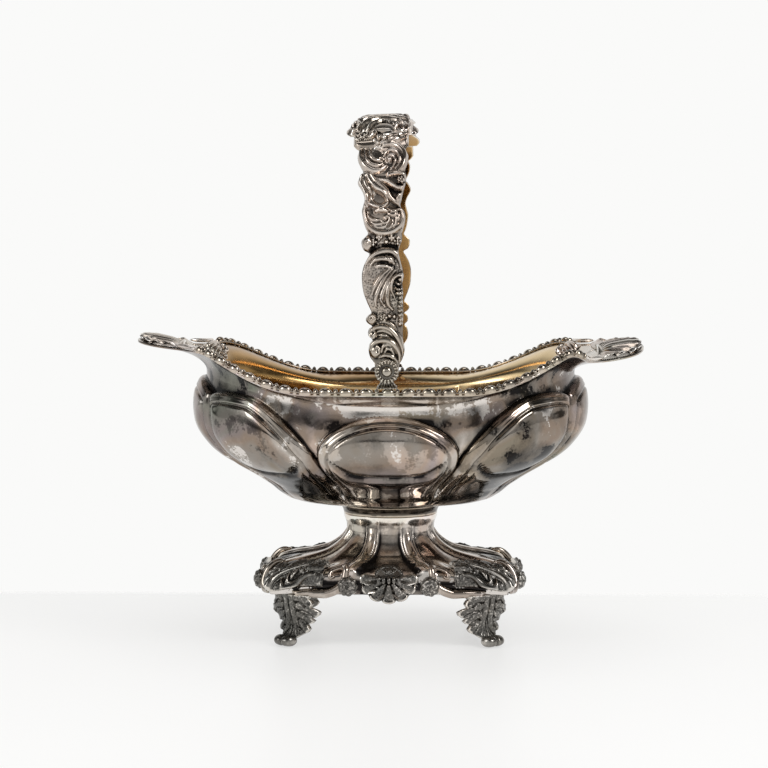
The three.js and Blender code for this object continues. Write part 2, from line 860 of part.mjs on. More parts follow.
// Lobed outline of the arm: each swell has a place above the hinge, a half length and a bulge.
const bothSides = 0;
const leftSide = -1;
const armSwells = [
  { at: 9.5, half: 5, bulge: 1.4, side: bothSides },
  { at: 18, half: 5, bulge: 1.2, side: bothSides },
  { at: 26, half: 2.6, bulge: 2.6, side: leftSide },
  { at: 46, half: 14, bulge: 3, side: bothSides },
  { at: 61.5, half: 2.8, bulge: 2.6, side: leftSide },
  { at: 74, half: 7.5, bulge: 3.4, side: bothSides },
  { at: 89.5, half: 6.5, bulge: 4.6, side: bothSides },
  { at: 103, half: 6.5, bulge: 5.4, side: bothSides },
  { at: 116, half: 7, bulge: 7.2, side: bothSides },
];

function armHalfWidth(length, side) {
  const narrow = mix(5, 7.2, smoothStep(0, 9, length));
  return armSwells.reduce((sum, swell) => {
    const shows = swell.side === bothSides || swell.side === side;
    return shows ? sum + swell.bulge * hill(length - swell.at, swell.half) : sum;
  }, narrow);
}

function crownHalfWidthAt(fromMiddle) {
  const share = Math.abs(fromMiddle);
  const waves = 0.86 + 0.14 * Math.cos(share * 3 * Math.PI);
  return crownHalfWidth * waves * (1 - 0.14 * smoothStep(0.8, 1, share));
}

function strapRing(length, halfAt, thick) {
  const { point, out } = archFrame(length);
  const top = [[-1, 0.35], [-0.7, 0.8], [-0.3, 1], [0.3, 1], [0.7, 0.8], [1, 0.35]];
  const outline = [...top, [0.92, 0], [-0.92, 0]];
  return outline.map(([a, b]) => {
    const across = a * halfAt(Math.sign(a));
    return new THREE.Vector3(across, 0, 0).add(point).addScaledVector(out, b * thick);
  });
}

function armGeometry() {
  const rings = [];
  const start = 1.5;
  const end = lengthToCrown() - fitGap;
  for (let i = 0; i <= archStations; i += 1) {
    const length = mix(start, end, i / archStations);
    const thick = mix(strapEye, handleThickness, smoothStep(rosetteRadius, 2 * rosetteRadius, length));
    rings.push(strapRing(length, (side) => armHalfWidth(length, side), thick));
  }
  const eyeMiddle = new THREE.Vector3(0, -hingeReach, 0);
  const eye = rodAlongY(strapEyeRadius, strapEye, eyeMiddle, 20);
  const bore = rodAlongY(pinRadius + fitGap, 4 * strapEye, eyeMiddle, 12);
  return toGeometry(toSolid(sweptBody(rings)).add(toSolid(eye)).subtract(toSolid(bore)));
}

// Main relief of the crown: each boss has a place from the middle, and a half width and length.
const crownBosses = [
  { across: 0, along: 0, wide: 7, long: 8 },
  { across: 9.6, along: 7.6, wide: 4.6, long: 4.6 },
  { across: -9, along: 20, wide: 4.4, long: 8 },
  { across: 3, along: 40, wide: 9, long: 8 },
  { across: -8, along: 62, wide: 5, long: 7 },
  { across: 5, along: 64, wide: 8, long: 5 },
];

function crownReliefAt(across, along) {
  let relief = 0;
  for (const boss of crownBosses) {
    for (const turn of [1, -1]) {
      const x = (across - turn * boss.across) / boss.wide;
      const y = (along - turn * boss.along) / boss.long;
      relief = Math.max(relief, crownRelief * Math.exp(-((x * x + y * y) ** 2)));
    }
  }
  return relief;
}

function crownGeometry() {
  const start = lengthToCrown();
  const skin = (u, v, rise) => {
    const side = 2 * v - 1;
    const along = mix(start, archLength - start, u);
    const across = side * crownHalfWidthAt(2 * u - 1);
    const { point, out } = archFrame(along);
    return point.clone().setX(across).addScaledVector(out, rise(across, along - archLength / 2, side));
  };
  const edgeShare = (side) => Math.sqrt(1 - side ** 6);
  const upper = (across, along, side) => {
    return mix(crownEdge, crownThickness + crownReliefAt(across, along), edgeShare(side));
  };
  return plateBody((u, v) => skin(u, v, upper), (u, v) => skin(u, v, () => 0), crownStations, crownSteps);
}

// Beaded rosette that covers the outer end of a hinge pin, modelled on the near side.
function rosetteGeometry() {
  const back = hingeReach + strapEye / 2 + fitGap;
  const ringAt = (radius, depth, waviness) => {
    const ring = [];
    for (let i = 0; i < 2 * rosetteBeads; i += 1) {
      const turn = Math.PI * i / rosetteBeads;
      const reach = radius - (i % 2) * waviness;
      ring.push(new THREE.Vector3(reach * Math.cos(turn), -(back + depth), reach * Math.sin(turn)));
    }
    return ring;
  };
  const dome = 0.42 * rosetteRadius;
  const rings = [
    ringAt(rosetteRadius, 0, 0.6),
    ringAt(rosetteRadius - 0.5, 0.45 * rosetteDepth, 0.6),
    ringAt(rosetteRadius - 1.4, 0.6 * rosetteDepth, 0),
    ringAt(dome + 0.5, 0.35 * rosetteDepth, 0),
    ringAt(0.7 * dome, 0.85 * rosetteDepth, 0),
  ];
  return ringBody(rings, new THREE.Vector3(0, -back, 0), new THREE.Vector3(0, -(back + rosetteDepth), 0));
}

// Rivet pin of a hinge, with its peened head inside the lug.
function pinGeometry() {
  const outerEnd = -(hingeReach + strapEye / 2);
  const headFace = -(hingeReach - strapEye / 2 - fitGap - lugThickness - fitGap);
  const shankMiddle = new THREE.Vector3(0, (outerEnd + headFace) / 2, 0);
  const shank = rodAlongY(pinRadius, headFace - outerEnd, shankMiddle, 12);
  const headMiddle = new THREE.Vector3(0, headFace + pinHeadDepth / 2 - 0.01, 0);
  const head = rodAlongY(pinHeadRadius, pinHeadDepth, headMiddle, 16);
  return toGeometry(toSolid(shank).add(toSolid(head)));
}

// Lug that stands on the border and holds the pin, modelled on the near side.
function lugGeometry() {
  const middleY = -(hingeReach - strapEye / 2 - fitGap - lugThickness / 2);
  const borderTop = middleOf(borderRing(-90, 1).slice(2, 4)).z + fitGap;
  const eye = rodAlongY(lugEyeRadius, lugThickness, new THREE.Vector3(0, middleY, hingeZ), 20);
  const footMiddle = borderTop + lugFootHeight / 2;
  const foot = new THREE.BoxGeometry(lugFootWidth, lugThickness, lugFootHeight);
  foot.translate(0, middleY, footMiddle);
  const neckHeight = hingeZ - borderTop - 0.1;
  const neck = new THREE.BoxGeometry(lugEyeRadius * 1.25, lugThickness, neckHeight);
  neck.translate(0, middleY, borderTop + 0.1 + neckHeight / 2);
  const bore = rodAlongY(pinRadius + fitGap, 4 * lugThickness, new THREE.Vector3(0, middleY, hingeZ), 12);
  return toGeometry(toSolid(eye).add(toSolid(foot)).add(toSolid(neck)).subtract(toSolid(bore)));
}

// Assembly

function turnedCopy(geometry) {
  return geometry.clone().rotateZ(Math.PI);
}

function mirroredCopy(geometry, mirrorX, mirrorY) {
  const copy = geometry.clone().scale(mirrorX, mirrorY, 1);
  if (mirrorX * mirrorY < 0) {
    copy.index.array.reverse();
  }
  return copy;
}

function addBowl() {
  addPiece(group, 'bowl', bowlGeometry(), silver);
  addPiece(group, 'rim_border_front', borderGeometry(-1), paleSilver);
  addPiece(group, 'rim_border_back', borderGeometry(1), paleSilver);
  addPiece(group, 'ear_shell_right', earShellGeometry(0), paleSilver);
  addPiece(group, 'ear_shell_left', earShellGeometry(180), paleSilver);
  const leaves = {
    right_back: rimLeafMiddle,
    left_back: 180 - rimLeafMiddle,
    left_front: 180 + rimLeafMiddle,
    right_front: -rimLeafMiddle,
  };
  for (const [side, angle] of Object.entries(leaves)) {
    addPiece(group, `rim_leaf_${side}`, rimLeafGeometry(angle), paleSilver);
  }
}

function addStemAndBase() {
  addPiece(group, 'stem_collar', collarGeometry(), silver);
  addPiece(group, 'pedestal', pedestalGeometry(), silver);
  const sides = {
    front: [0, baseHalfDepth],
    right: [90, baseHalfLength],
    back: [180, baseHalfDepth],
    left: [270, baseHalfLength],
  };
  for (const [side, [turn, reach]] of Object.entries(sides)) {
    const shell = addPiece(group, `base_shell_${side}`, baseShellGeometry(), darkSilver);
    shell.geometry.translate(0, -(reach + fitGap + shellBevel), shellMiddleZ);
    shell.geometry.rotateZ(radians(turn));
    for (const hand of [-1, 1]) {
      const ball = new THREE.SphereGeometry(ballRadius, 10, 7);
      ball.scale(1, ballFlatness, 1);
      ball.translate(hand * ballFromMiddle, -(reach + ballFlatness * ballRadius), ballMiddleZ);
      ball.rotateZ(radians(turn));
      addPiece(group, `base_ball_${side}_${hand < 0 ? 'a' : 'b'}`, ball, darkSilver);
    }
  }
}

function addCorners() {
  const longScroll = baseScrollGeometry(...longScrollAngles);
  const shortScroll = baseScrollGeometry(...shortScrollAngles);
  const leaf = cornerLeafGeometry();
  const foot = footGeometry();
  foot.rotateZ(radians(footTurn));
  foot.translate(footMiddleX, footMiddleY, 0);
  const corners = { right_back: [1, 1], left_back: [-1, 1], left_front: [-1, -1], right_front: [1, -1] };
  for (const [name, [x, y]] of Object.entries(corners)) {
    addPiece(group, `base_scroll_long_${name}`, mirroredCopy(longScroll, x, y), silver);
    addPiece(group, `base_scroll_short_${name}`, mirroredCopy(shortScroll, x, y), silver);
    addPiece(group, `corner_leaf_${name}`, mirroredCopy(leaf, x, y), silver);
    addPiece(group, `foot_${name}`, mirroredCopy(foot, x, y), darkSilver);
  }
}

function addHandle() {
  handle.position.z = hingeZ;
  handle.rotation.y = radians(handleLean);
  addPiece(handle, 'handle_arm_front', armGeometry(), paleSilver);
  addPiece(handle, 'handle_arm_rear', turnedCopy(armGeometry()), paleSilver);
  addPiece(handle, 'handle_crown', crownGeometry(), paleSilver);
  addPiece(handle, 'hinge_rosette_front', rosetteGeometry(), paleSilver);
  addPiece(handle, 'hinge_rosette_rear', turnedCopy(rosetteGeometry()), paleSilver);
  addPiece(handle, 'hinge_pin_front', pinGeometry(), silver);
  addPiece(handle, 'hinge_pin_rear', turnedCopy(pinGeometry()), silver);
  group.add(handle);
  addPiece(group, 'hinge_lug_front', lugGeometry(), silver);
  addPiece(group, 'hinge_lug_rear', turnedCopy(lugGeometry()), silver);
}

addBowl();
addStemAndBase();
addCorners();
addHandle();

export default group;
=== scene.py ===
# %% [markdown]
# A footed bonbon dish with a swing handle.
# The real dish is old silver: a raised bowl with a gilt inside, a spun and chased pedestal on four cast
# feet, cast borders soldered to the rim, and a cast bail handle riveted between two lugs.
# The packed parts already hold every size and joint. This lesson gives each of them its chased surface and its worn,
# tarnished finish, with some painted shade and painted highlights in it, and puts the result on a pale studio floor.

# %% Tools and the packed frame
import math

import bpy
import numpy as np
from mathutils import Matrix, Vector


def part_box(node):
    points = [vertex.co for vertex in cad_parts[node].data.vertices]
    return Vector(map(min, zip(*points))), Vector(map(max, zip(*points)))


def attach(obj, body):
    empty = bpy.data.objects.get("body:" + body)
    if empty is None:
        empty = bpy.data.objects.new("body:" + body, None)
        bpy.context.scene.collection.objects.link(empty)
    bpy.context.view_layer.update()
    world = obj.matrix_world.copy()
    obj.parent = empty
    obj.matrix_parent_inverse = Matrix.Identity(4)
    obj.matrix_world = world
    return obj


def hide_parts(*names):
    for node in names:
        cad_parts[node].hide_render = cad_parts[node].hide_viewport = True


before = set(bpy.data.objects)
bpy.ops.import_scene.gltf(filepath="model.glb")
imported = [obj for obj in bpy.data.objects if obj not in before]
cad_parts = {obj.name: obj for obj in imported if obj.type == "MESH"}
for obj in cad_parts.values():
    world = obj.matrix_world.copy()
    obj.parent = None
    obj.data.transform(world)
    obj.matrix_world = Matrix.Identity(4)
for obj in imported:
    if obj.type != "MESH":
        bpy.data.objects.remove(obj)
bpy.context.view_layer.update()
MM = 0.001

# %% [markdown]
# The camera comes first, because everything is judged through it. The photograph was taken from about
# 1.1 m, a little right of the middle and slightly above the rim, with a long lens that hardly widens the
# near side. So the camera stands there and is aimed at a point just left of the stem.

# %% Camera
CAMERA_PLACE = Vector((0.0213, -1.1098, 0.2053))
CAMERA_AIM = Vector((-0.0034, 0.0, 0.1304))
LENS = 100.0
SENSOR = 36.0

bpy.ops.object.select_all(action="DESELECT")
bpy.ops.object.camera_add(location=CAMERA_PLACE)
camera = bpy.context.object
camera.name = "camera"
camera.rotation_euler = (CAMERA_AIM - CAMERA_PLACE).to_track_quat("-Z", "Y").to_euler()
camera.data.lens = LENS
camera.data.sensor_width = SENSOR
camera.data.clip_end = 50
bpy.context.scene.camera = camera
bpy.context.scene.view_settings.view_transform = "Standard"
print("camera", round((CAMERA_AIM - CAMERA_PLACE).length, 3), "m from the stem")

# %% [markdown]
# Shader maths reads best as plain sums. One small class wraps a socket, so that mask * 0.5 + noise adds
# its Math nodes by itself, and one method adds any other node with its settings and its inputs.

# %% A material written as sums


class Wire:
    """A socket of a material that can be used in sums."""

    def __init__(self, tree, socket):
        self.tree = tree
        self.socket = socket

    def math(self, kind, first, second):
        return add_node(self.tree, "ShaderNodeMath", {"operation": kind}, {0: first, 1: second})

    def __add__(self, other):
        return self.math("ADD", self, other)

    __radd__ = __add__

    def __sub__(self, other):
        return self.math("SUBTRACT", self, other)

    def __rsub__(self, other):
        return self.math("SUBTRACT", other, self)

    def __mul__(self, other):
        return self.math("MULTIPLY", self, other)

    __rmul__ = __mul__

    def upto(self, other):
        return self.math("MINIMUM", self, other)

    def atleast(self, other):
        return self.math("MAXIMUM", self, other)


def add_node(tree, kind, settings=None, inputs=None, output=0):
    """Adds any other node. Its settings go in first, then the values or links of its sockets."""
    node = tree.nodes.new(kind)
    for name, value in (settings or {}).items():
        if name == "stops":
            set_stops(node.color_ramp, value)
        else:
            setattr(node, name, value)
    for name, value in (inputs or {}).items():
        if isinstance(value, Wire):
            tree.links.new(value.socket, node.inputs[name])
        else:
            node.inputs[name].default_value = value
    return Wire(tree, node.outputs[output])


def set_stops(ramp, stops):
    while len(ramp.elements) < len(stops):
        ramp.elements.new(0.5)
    for element, (place, tone) in zip(ramp.elements, stops):
        element.position = place
        element.color = tone if len(tone) == 4 else (*tone, 1.0)


def blend_colours(tree, share, first, second, kind="MIX"):
    settings = {"data_type": "RGBA", "blend_type": kind}
    return add_node(tree, "ShaderNodeMix", settings, {0: share, 6: first, 7: second}, 2)


def tone(red, green, blue):
    """A colour given as it looks on a screen, 0 to 255, turned to the linear light that shaders use."""
    return tuple(((part / 255 + 0.055) / 1.055) ** 2.4 for part in (red, green, blue)) + (1.0,)


def steps_between(value, low, high):
    """0 below low, 1 above high and smooth between."""
    inputs = {0: value, 1: low, 2: high, 3: 0.0, 4: 1.0}
    return add_node(value.tree, "ShaderNodeMapRange", {"interpolation_type": "SMOOTHSTEP"}, inputs)


def band(value, start, stop):
    """1 between two soft edges, each given by where it begins and ends."""
    return steps_between(value, *start) * (1 - steps_between(value, *stop))


def split_axes(vector):
    split = vector.tree.nodes.new("ShaderNodeSeparateXYZ")
    vector.tree.links.new(vector.socket, split.inputs[0])
    return [Wire(vector.tree, socket) for socket in split.outputs]


def kinds_of_ray(tree):
    """Rays from the camera, and rays that come off or through shiny things."""
    rays = tree.nodes.new("ShaderNodeLightPath").outputs
    shiny = Wire(tree, rays["Is Glossy Ray"]).atleast(Wire(tree, rays["Is Transmission Ray"]))
    return Wire(tree, rays["Is Camera Ray"]), shiny


print("colours go in as seen on a screen: mid grey 128 is", round(tone(128, 128, 128)[0], 3), "in linear light")

# %% [markdown]
# The studio is a pale floor in front of a white backdrop, and the floor's far edge shows as a faint line
# behind the feet. Metal shows what stands round it, so the room that the silver mirrors is a picture of
# its own: dark and a little cluttered, white behind and below, with a tall window on the left and a card
# on the right. The main lamp is on the right, and its wide soft shadow falls to the left.

# %% Floor, room and lamps
FLOOR_REACH, FLOOR_Z = 2.4, -0.0002
FLOOR_EDGE, FLOOR_EDGE_BLUR = 0.118, 0.01
FLOOR_TONES = tone(238, 237, 236), tone(240, 240, 239)
FLOOR_ROUGHNESS, FLOOR_SHINE = 0.32, 0.3
FLOOR_GLOW, FLOOR_GLOW_SHARE = tone(247, 247, 246), 0.6


def add_floor():
    bpy.ops.object.select_all(action="DESELECT")
    bpy.ops.mesh.primitive_circle_add(vertices=64, radius=FLOOR_REACH, fill_type="NGON", location=(0, 0, FLOOR_Z))
    floor = bpy.context.object
    floor.name = "studio_floor"
    material = bpy.data.materials.new("pale_floor")
    material.use_nodes = True
    tree = material.node_tree
    shader = tree.nodes["Principled BSDF"]
    place = add_node(tree, "ShaderNodeTexCoord", output=3)
    beyond = steps_between(split_axes(place)[1], FLOOR_EDGE - FLOOR_EDGE_BLUR, FLOOR_EDGE + FLOOR_EDGE_BLUR)
    grain = add_node(tree, "ShaderNodeTexNoise", None, {"Vector": place, "Scale": 9.0, "Detail": 3.0})
    colour = blend_colours(tree, grain, *FLOOR_TONES)
    tree.links.new(colour.socket, shader.inputs["Base Color"])
    tree.links.new((1 - beyond).socket, shader.inputs["Alpha"])
    shader.inputs["Roughness"].default_value = FLOOR_ROUGHNESS
    shader.inputs["Specular IOR Level"].default_value = FLOOR_SHINE
    camera_rays, shiny_rays = kinds_of_ray(tree)
    seen = camera_rays.atleast(shiny_rays)
    glow = add_node(tree, "ShaderNodeEmission", None, {"Color": FLOOR_GLOW, "Strength": 1.0})
    mixed = add_node(tree, "ShaderNodeMixShader", None, {0: seen * (1 - beyond) * FLOOR_GLOW_SHARE})
    tree.links.new(shader.outputs[0], mixed.socket.node.inputs[1])
    tree.links.new(glow.socket, mixed.socket.node.inputs[2])
    tree.links.new(mixed.socket, tree.nodes["Material Output"].inputs["Surface"])
    floor.data.materials.append(material)
    print(floor.name, "ends", FLOOR_EDGE, "m behind the middle")


add_floor()

# %% Room
ROOM_LIGHT = (0.95, 0.95, 0.95, 1.0)
ROOM_WHITE = tone(250, 250, 249)


def add_room():
    world = bpy.data.worlds.new("studio_room")
    bpy.context.scene.world = world
    world.use_nodes = True
    tree = world.node_tree
    tree.nodes.clear()
    way = add_node(tree, "ShaderNodeTexCoord", output=0)
    right, back, up = split_axes(way)
    left, ahead = 0 - right, 0 - back
    clutter = add_node(
        tree, "ShaderNodeTexNoise", None, {"Vector": way, "Scale": 2.6, "Detail": 3.0, "Distortion": 0.5}
    )
    dark = 0.1 + 0.5 * steps_between(clutter, 0.44, 0.56)
    dark = dark * (1 - 0.75 * steps_between(up, 0.25, 0.7))
    front = steps_between(ahead, 0.3, 0.6) * band(up, (0.03, 0.06), (0.5, 0.62)) * 0.55
    backdrop = steps_between(back, 0.35, 0.8) * (1 - steps_between(up, 0.5, 0.85)) * 0.85
    below = steps_between(0 - up, 0.02, 0.08) * 0.85
    window = steps_between(left, 0.45, 0.5) * steps_between(ahead, 0.05, 0.12) * band(up, (0.08, 0.12), (0.6, 0.8))
    card = band(right, (0.5, 0.54), (0.74, 0.78)) * steps_between(ahead, 0.1, 0.2)
    card = card * band(up, (0.05, 0.1), (0.5, 0.56))
    light = dark.atleast(front).atleast(backdrop).atleast(window).atleast(card).atleast(below).upto(1)
    black_to_white = [(0.0, (0.0, 0.0, 0.0)), (1.0, ROOM_WHITE)]
    mirrored = add_node(tree, "ShaderNodeValToRGB", {"stops": black_to_white}, {0: light})
    camera_rays, shiny_rays = kinds_of_ray(tree)
    colour = blend_colours(tree, shiny_rays, ROOM_LIGHT, mirrored)
    colour = blend_colours(tree, camera_rays, colour, ROOM_WHITE)
    lit = add_node(tree, "ShaderNodeBackground", None, {"Color": colour, "Strength": 1.0})
    out = tree.nodes.new("ShaderNodeOutputWorld")
    tree.links.new(lit.socket, out.inputs["Surface"])
    print("room", len(tree.nodes), "nodes")


add_room()

# %% Lamps


def add_lamp(name, place, aim, width, height, power):
    bpy.ops.object.light_add(type="AREA", location=place)
    lamp = bpy.context.object
    lamp.name = name
    lamp.data.shape = "RECTANGLE"
    lamp.data.size = width
    lamp.data.size_y = height
    lamp.data.energy = power
    lamp.rotation_euler = (Vector(aim) - Vector(place)).to_track_quat("-Z", "Y").to_euler()
    print(name, power, "W")


add_lamp("lamp_right", (0.95, -0.7, 1.1), (0, 0, 0.1), 0.6, 0.6, 7.5)
add_lamp("lamp_left", (-1.2, -0.7, 0.7), (0, 0, 0.12), 0.4, 0.7, 3.0)
add_lamp("lamp_top", (0.0, 0.2, 1.4), (0, 0, 0.1), 0.7, 0.4, 1.6)

# %% [markdown]
# Old silver is bright where hands and cloths reach it, and warm grey to black where they don't. The
# finish therefore follows the shape: a point attribute called hollow says how deep each point lies under
# its surroundings, and the colour and the gloss are read from it. Broad clouds add the pink, green and
# straw tints of thin tarnish. Ground that was matted with a punch gets fine pits from the attribute
# stipple. Everything is procedural and fixed to the object.
# Some light and shade is painted in as well: the metal is darker below a given height, and the bowl has spots of
# painted shade and painted highlights.

# %% Silver
TARNISH_TINTS = [
    (0.3, tone(206, 222, 208)), (0.4, tone(226, 210, 188)), (0.47, tone(252, 250, 250)),
    (0.54, tone(240, 214, 196)), (0.62, tone(224, 212, 222)), (0.72, tone(194, 216, 202)),
]
WORN_SILVER, BARE_SILVER = tone(232, 226, 220), tone(214, 206, 196)
CLOUD, PATCH, SPECK, SCRATCH, DENT = (26.0, 5.0), (105.0, 6.0), (800.0, 3.0), (380.0, 4.0), (70.0, 1.0)
PUNCHES = 1050.0
ROUGHEST = 0.7
BUMP = {"Strength": 0.35, "Distance": 0.0004}
print("tarnish runs through", len(TARNISH_TINTS), "tints")


def silver_finish(name, deep, mid, bright, gloss, clouds=0.3, tint=0.3, worn=0.0, blots=0.3, low=None, pale=None):
    """deep, mid and bright are the tones of hollow, level and proud metal, as seen on a screen. low is a range
    of height in mm below which it is darker, and by how much. pale is a distance from the middle, in mm, over
    which gilding gives way to bare silver."""
    material = bpy.data.materials.new(name)
    material.use_nodes = True
    tree = material.node_tree
    shader = tree.nodes["Principled BSDF"]
    place = add_node(tree, "ShaderNodeTexCoord", output=3)
    hollow, stipple, spots = (
        add_node(tree, "ShaderNodeAttribute", {"attribute_name": mark}, output=2)
        for mark in ("hollow", "stipple", "spots")
    )
    cloud, patch, speck, scratch, dent = (
        add_node(tree, "ShaderNodeTexNoise", None, {"Vector": place, "Scale": scale, "Detail": detail})
        for scale, detail in (CLOUD, PATCH, SPECK, SCRATCH, DENT)
    )
    punch = add_node(tree, "ShaderNodeTexVoronoi", None, {"Vector": place, "Scale": PUNCHES})
    ragged = cloud + (patch - 0.5) * 0.5 + (speck - 0.5) * 0.22
    blot = steps_between(1 - ragged, 0.53, 0.6) * blots
    level = hollow + (cloud - 0.5) * clouds + (patch - 0.5) * clouds * 0.7 + (speck - 0.5) * 0.14
    # Spots of tarnish and painted shade darken the level, and spots below nothing lighten it as painted highlights.
    level = level - spots - blot * 0.3 - stipple * 0.07 + (punch - 0.45) * stipple * 0.7
    # Below the low range of height the metal is darker as painted shade; on the bowl this is partly tarnish too.
    if low:
        level = level - (1 - steps_between(split_axes(place)[2], low[0] * MM, low[1] * MM)) * low[2]
    stops = [(0.1, tone(*deep)), (0.44, tone(*mid)), (0.6, tone(*mid)), (0.9, tone(*bright))]
    colour = add_node(tree, "ShaderNodeValToRGB", {"stops": stops}, {0: level})
    hue = add_node(
        tree, "ShaderNodeTexNoise", None, {"Vector": place, "Scale": 19.0, "Detail": 3.0, "Distortion": 0.8}
    )
    hue = add_node(tree, "ShaderNodeValToRGB", {"stops": TARNISH_TINTS}, {0: hue})
    colour = blend_colours(tree, tint, colour, hue, "MULTIPLY")
    if worn:
        share = steps_between(ragged - spots * 0.35, 0.61, 0.645) * worn
        colour = blend_colours(tree, share, colour, WORN_SILVER)
    if pale:
        aside = split_axes(place)[0] + (patch - 0.5) * 0.012
        share = steps_between(aside.atleast(0 - aside), pale[0] * MM, pale[1] * MM)
        colour = blend_colours(tree, share, colour, BARE_SILVER)
    tree.links.new(colour.socket, shader.inputs["Base Color"])
    shader.inputs["Metallic"].default_value = 1.0
    dull = (0.5 - hollow).atleast(0) * 0.6
    rough = gloss + dull + (patch - 0.5).atleast(0) * 0.4 + stipple * 0.12 + blot * 0.12
    tree.links.new(rough.upto(ROUGHEST).socket, shader.inputs["Roughness"])
    height = punch * stipple * 1.1 + scratch * 0.1 + dent * 1.6
    bump = add_node(tree, "ShaderNodeBump", None, {**BUMP, "Height": height})
    tree.links.new(bump.socket, shader.inputs["Normal"])
    return material


# %% Finishes
# The bowl is darker under its belly, below 72 to 94 mm: partly tarnish, partly painted shade.
BOWL_SILVER = silver_finish(
    "bowl_silver_tarnish_and_painted_light", (34, 33, 33), (150, 144, 136), (198, 191, 183), gloss=0.06, clouds=0.6, tint=0.7,
    worn=0.85, blots=0.7, low=(72, 94, 0.2),
)
GILT = silver_finish(
    "worn_gilding", (74, 56, 34), (190, 152, 98), (232, 206, 160), gloss=0.17, tint=0.1, blots=0.0, pale=(84, 104),
)
# The handle and its hinges are darker below 150 to 225 mm as painted shade, so the top of the arch stays lighter.
CAST_SILVER = silver_finish(
    "cast_handle_silver", (32, 30, 29), (194, 184, 174), (254, 249, 242), gloss=0.13, low=(150, 225, 0.16),
)
EAR_SILVER = silver_finish("cast_ear_silver", (40, 38, 36), (210, 200, 189), (254, 250, 244), gloss=0.18)
SCROLL_SILVER = silver_finish(
    "polished_scroll_silver", (36, 34, 33), (178, 169, 160), (250, 244, 236), gloss=0.08, clouds=0.4,
)
EDGE_SILVER = silver_finish("cast_rim_silver", (14, 13, 12), (92, 86, 79), (204, 194, 180), gloss=0.12)
# The lowest band of the pedestal, below 32 to 36 mm, is made much darker as painted shade.
BASE_SILVER = silver_finish(
    "pedestal_silver", (40, 38, 38), (206, 198, 190), (255, 251, 246), gloss=0.09, clouds=0.45, tint=0.4,
    worn=0.9, blots=0.35, low=(32, 36, 0.8),
)
DARK_SILVER = silver_finish(
    "blackened_foot_silver", (26, 26, 26), (112, 110, 106), (226, 221, 213), gloss=0.2, tint=0.15
)
for finish in (BOWL_SILVER, GILT, CAST_SILVER, EAR_SILVER, SCROLL_SILVER, EDGE_SILVER, BASE_SILVER, DARK_SILVER):
    print(finish.name, len(finish.node_tree.nodes), "nodes")

# %% [markdown]
# Most pieces are closed skins that a formula describes: the bowl wall, a border, a leaf. A ball has the
# right network for them, rings between two poles, so each starts as a grid rolled into a ball. Its points
# are then pressed to their place in code, as a smith raises a form over a stake. The result is closed, and
# its faces are turned outwards by the sign of its volume.

# %% A closed ball


def coordinates(mesh):
    flat = np.empty(3 * len(mesh.vertices), np.float64)
    mesh.vertices.foreach_get("co", flat)
    return flat.reshape(-1, 3)


def set_coordinates(mesh, points):
    mesh.vertices.foreach_set("co", np.ascontiguousarray(points, np.float32).ravel())
    mesh.update()


def enclosed_volume(mesh):
    points = coordinates(mesh)
    mesh.calc_loop_triangles()
    corners = np.empty(3 * len(mesh.loop_triangles), np.int32)
    mesh.loop_triangles.foreach_get("vertices", corners)
    a, b, c = (points[corners.reshape(-1, 3)[:, k]] for k in range(3))
    return float(np.einsum("ij,ij->i", a, np.cross(b, c)).sum() / 6)


def closed_ball(name, around, bands):
    """A grid rolled into a ball and merged along its seam, which is far quicker than a fine UV sphere."""
    bpy.ops.object.select_all(action="DESELECT")
    bpy.ops.mesh.primitive_grid_add(x_subdivisions=around, y_subdivisions=bands, size=2)
    piece = bpy.context.object
    piece.name = name
    piece.data.name = name
    share = (coordinates(piece.data) + 1) / 2
    column, row = np.rint(share[:, 0] * around) % around, np.rint(share[:, 1] * bands)
    turn, tilt = 2 * math.pi * column / around, math.pi * row / bands
    ring = np.where((row == 0) | (row == bands), 0, np.sin(tilt))
    set_coordinates(piece.data, np.stack([ring * np.cos(turn), ring * np.sin(turn), -np.cos(tilt)], axis=1))
    bpy.ops.object.mode_set(mode="EDIT")
    bpy.ops.mesh.select_all(action="SELECT")
    bpy.ops.mesh.remove_doubles(threshold=1e-6)
    bpy.ops.object.mode_set(mode="OBJECT")
    return piece


# %% A ball pressed into a form


def set_attribute(mesh, name, values):
    layer = mesh.attributes.get(name) or mesh.attributes.new(name, "FLOAT", "POINT")
    layer.data.foreach_set("value", np.ascontiguousarray(values, np.float32))


def ball_form(name, around, rows, place, marks=None):
    """Presses a ball into a closed skin. place(i, j) gives points in mm for column i of row j, and each of
    the marks a value there, which is kept as a point attribute."""
    piece = closed_ball(name, around, rows + 1)
    mesh = piece.data
    ball = coordinates(mesh)
    turn = np.arctan2(ball[:, 1], ball[:, 0]) / (2 * math.pi)
    column = np.rint(turn * around).astype(int) % around
    row = np.rint(np.arccos(np.clip(-ball[:, 2], -1, 1)) / math.pi * (rows + 1)).astype(int) - 1
    inside = (row >= 0) & (row < rows)
    points = np.zeros_like(ball)
    points[inside] = place(column[inside], row[inside])
    points[row == -1] = points[row == 0].mean(axis=0)
    points[row == rows] = points[row == rows - 1].mean(axis=0)
    set_coordinates(mesh, points * MM)
    if enclosed_volume(mesh) < 0:
        mesh.flip_normals()
    bpy.ops.object.shade_smooth()
    for mark, share in (marks or {}).items():
        shares = np.zeros(len(points))
        shares[inside] = share(column[inside], row[inside])
        set_attribute(mesh, mark, shares)
    return piece


def marked(mesh, name):
    values = np.empty(len(mesh.vertices), np.float32)
    mesh.attributes[name].data.foreach_get("value", values)
    return values


def gild_marked(mesh, name):
    """Gives the second material to the faces whose points are all marked."""
    values = marked(mesh, name)
    for face in mesh.polygons:
        face.material_index = int(values[list(face.vertices)].min() > 0.5)

# %% A plate between two skins


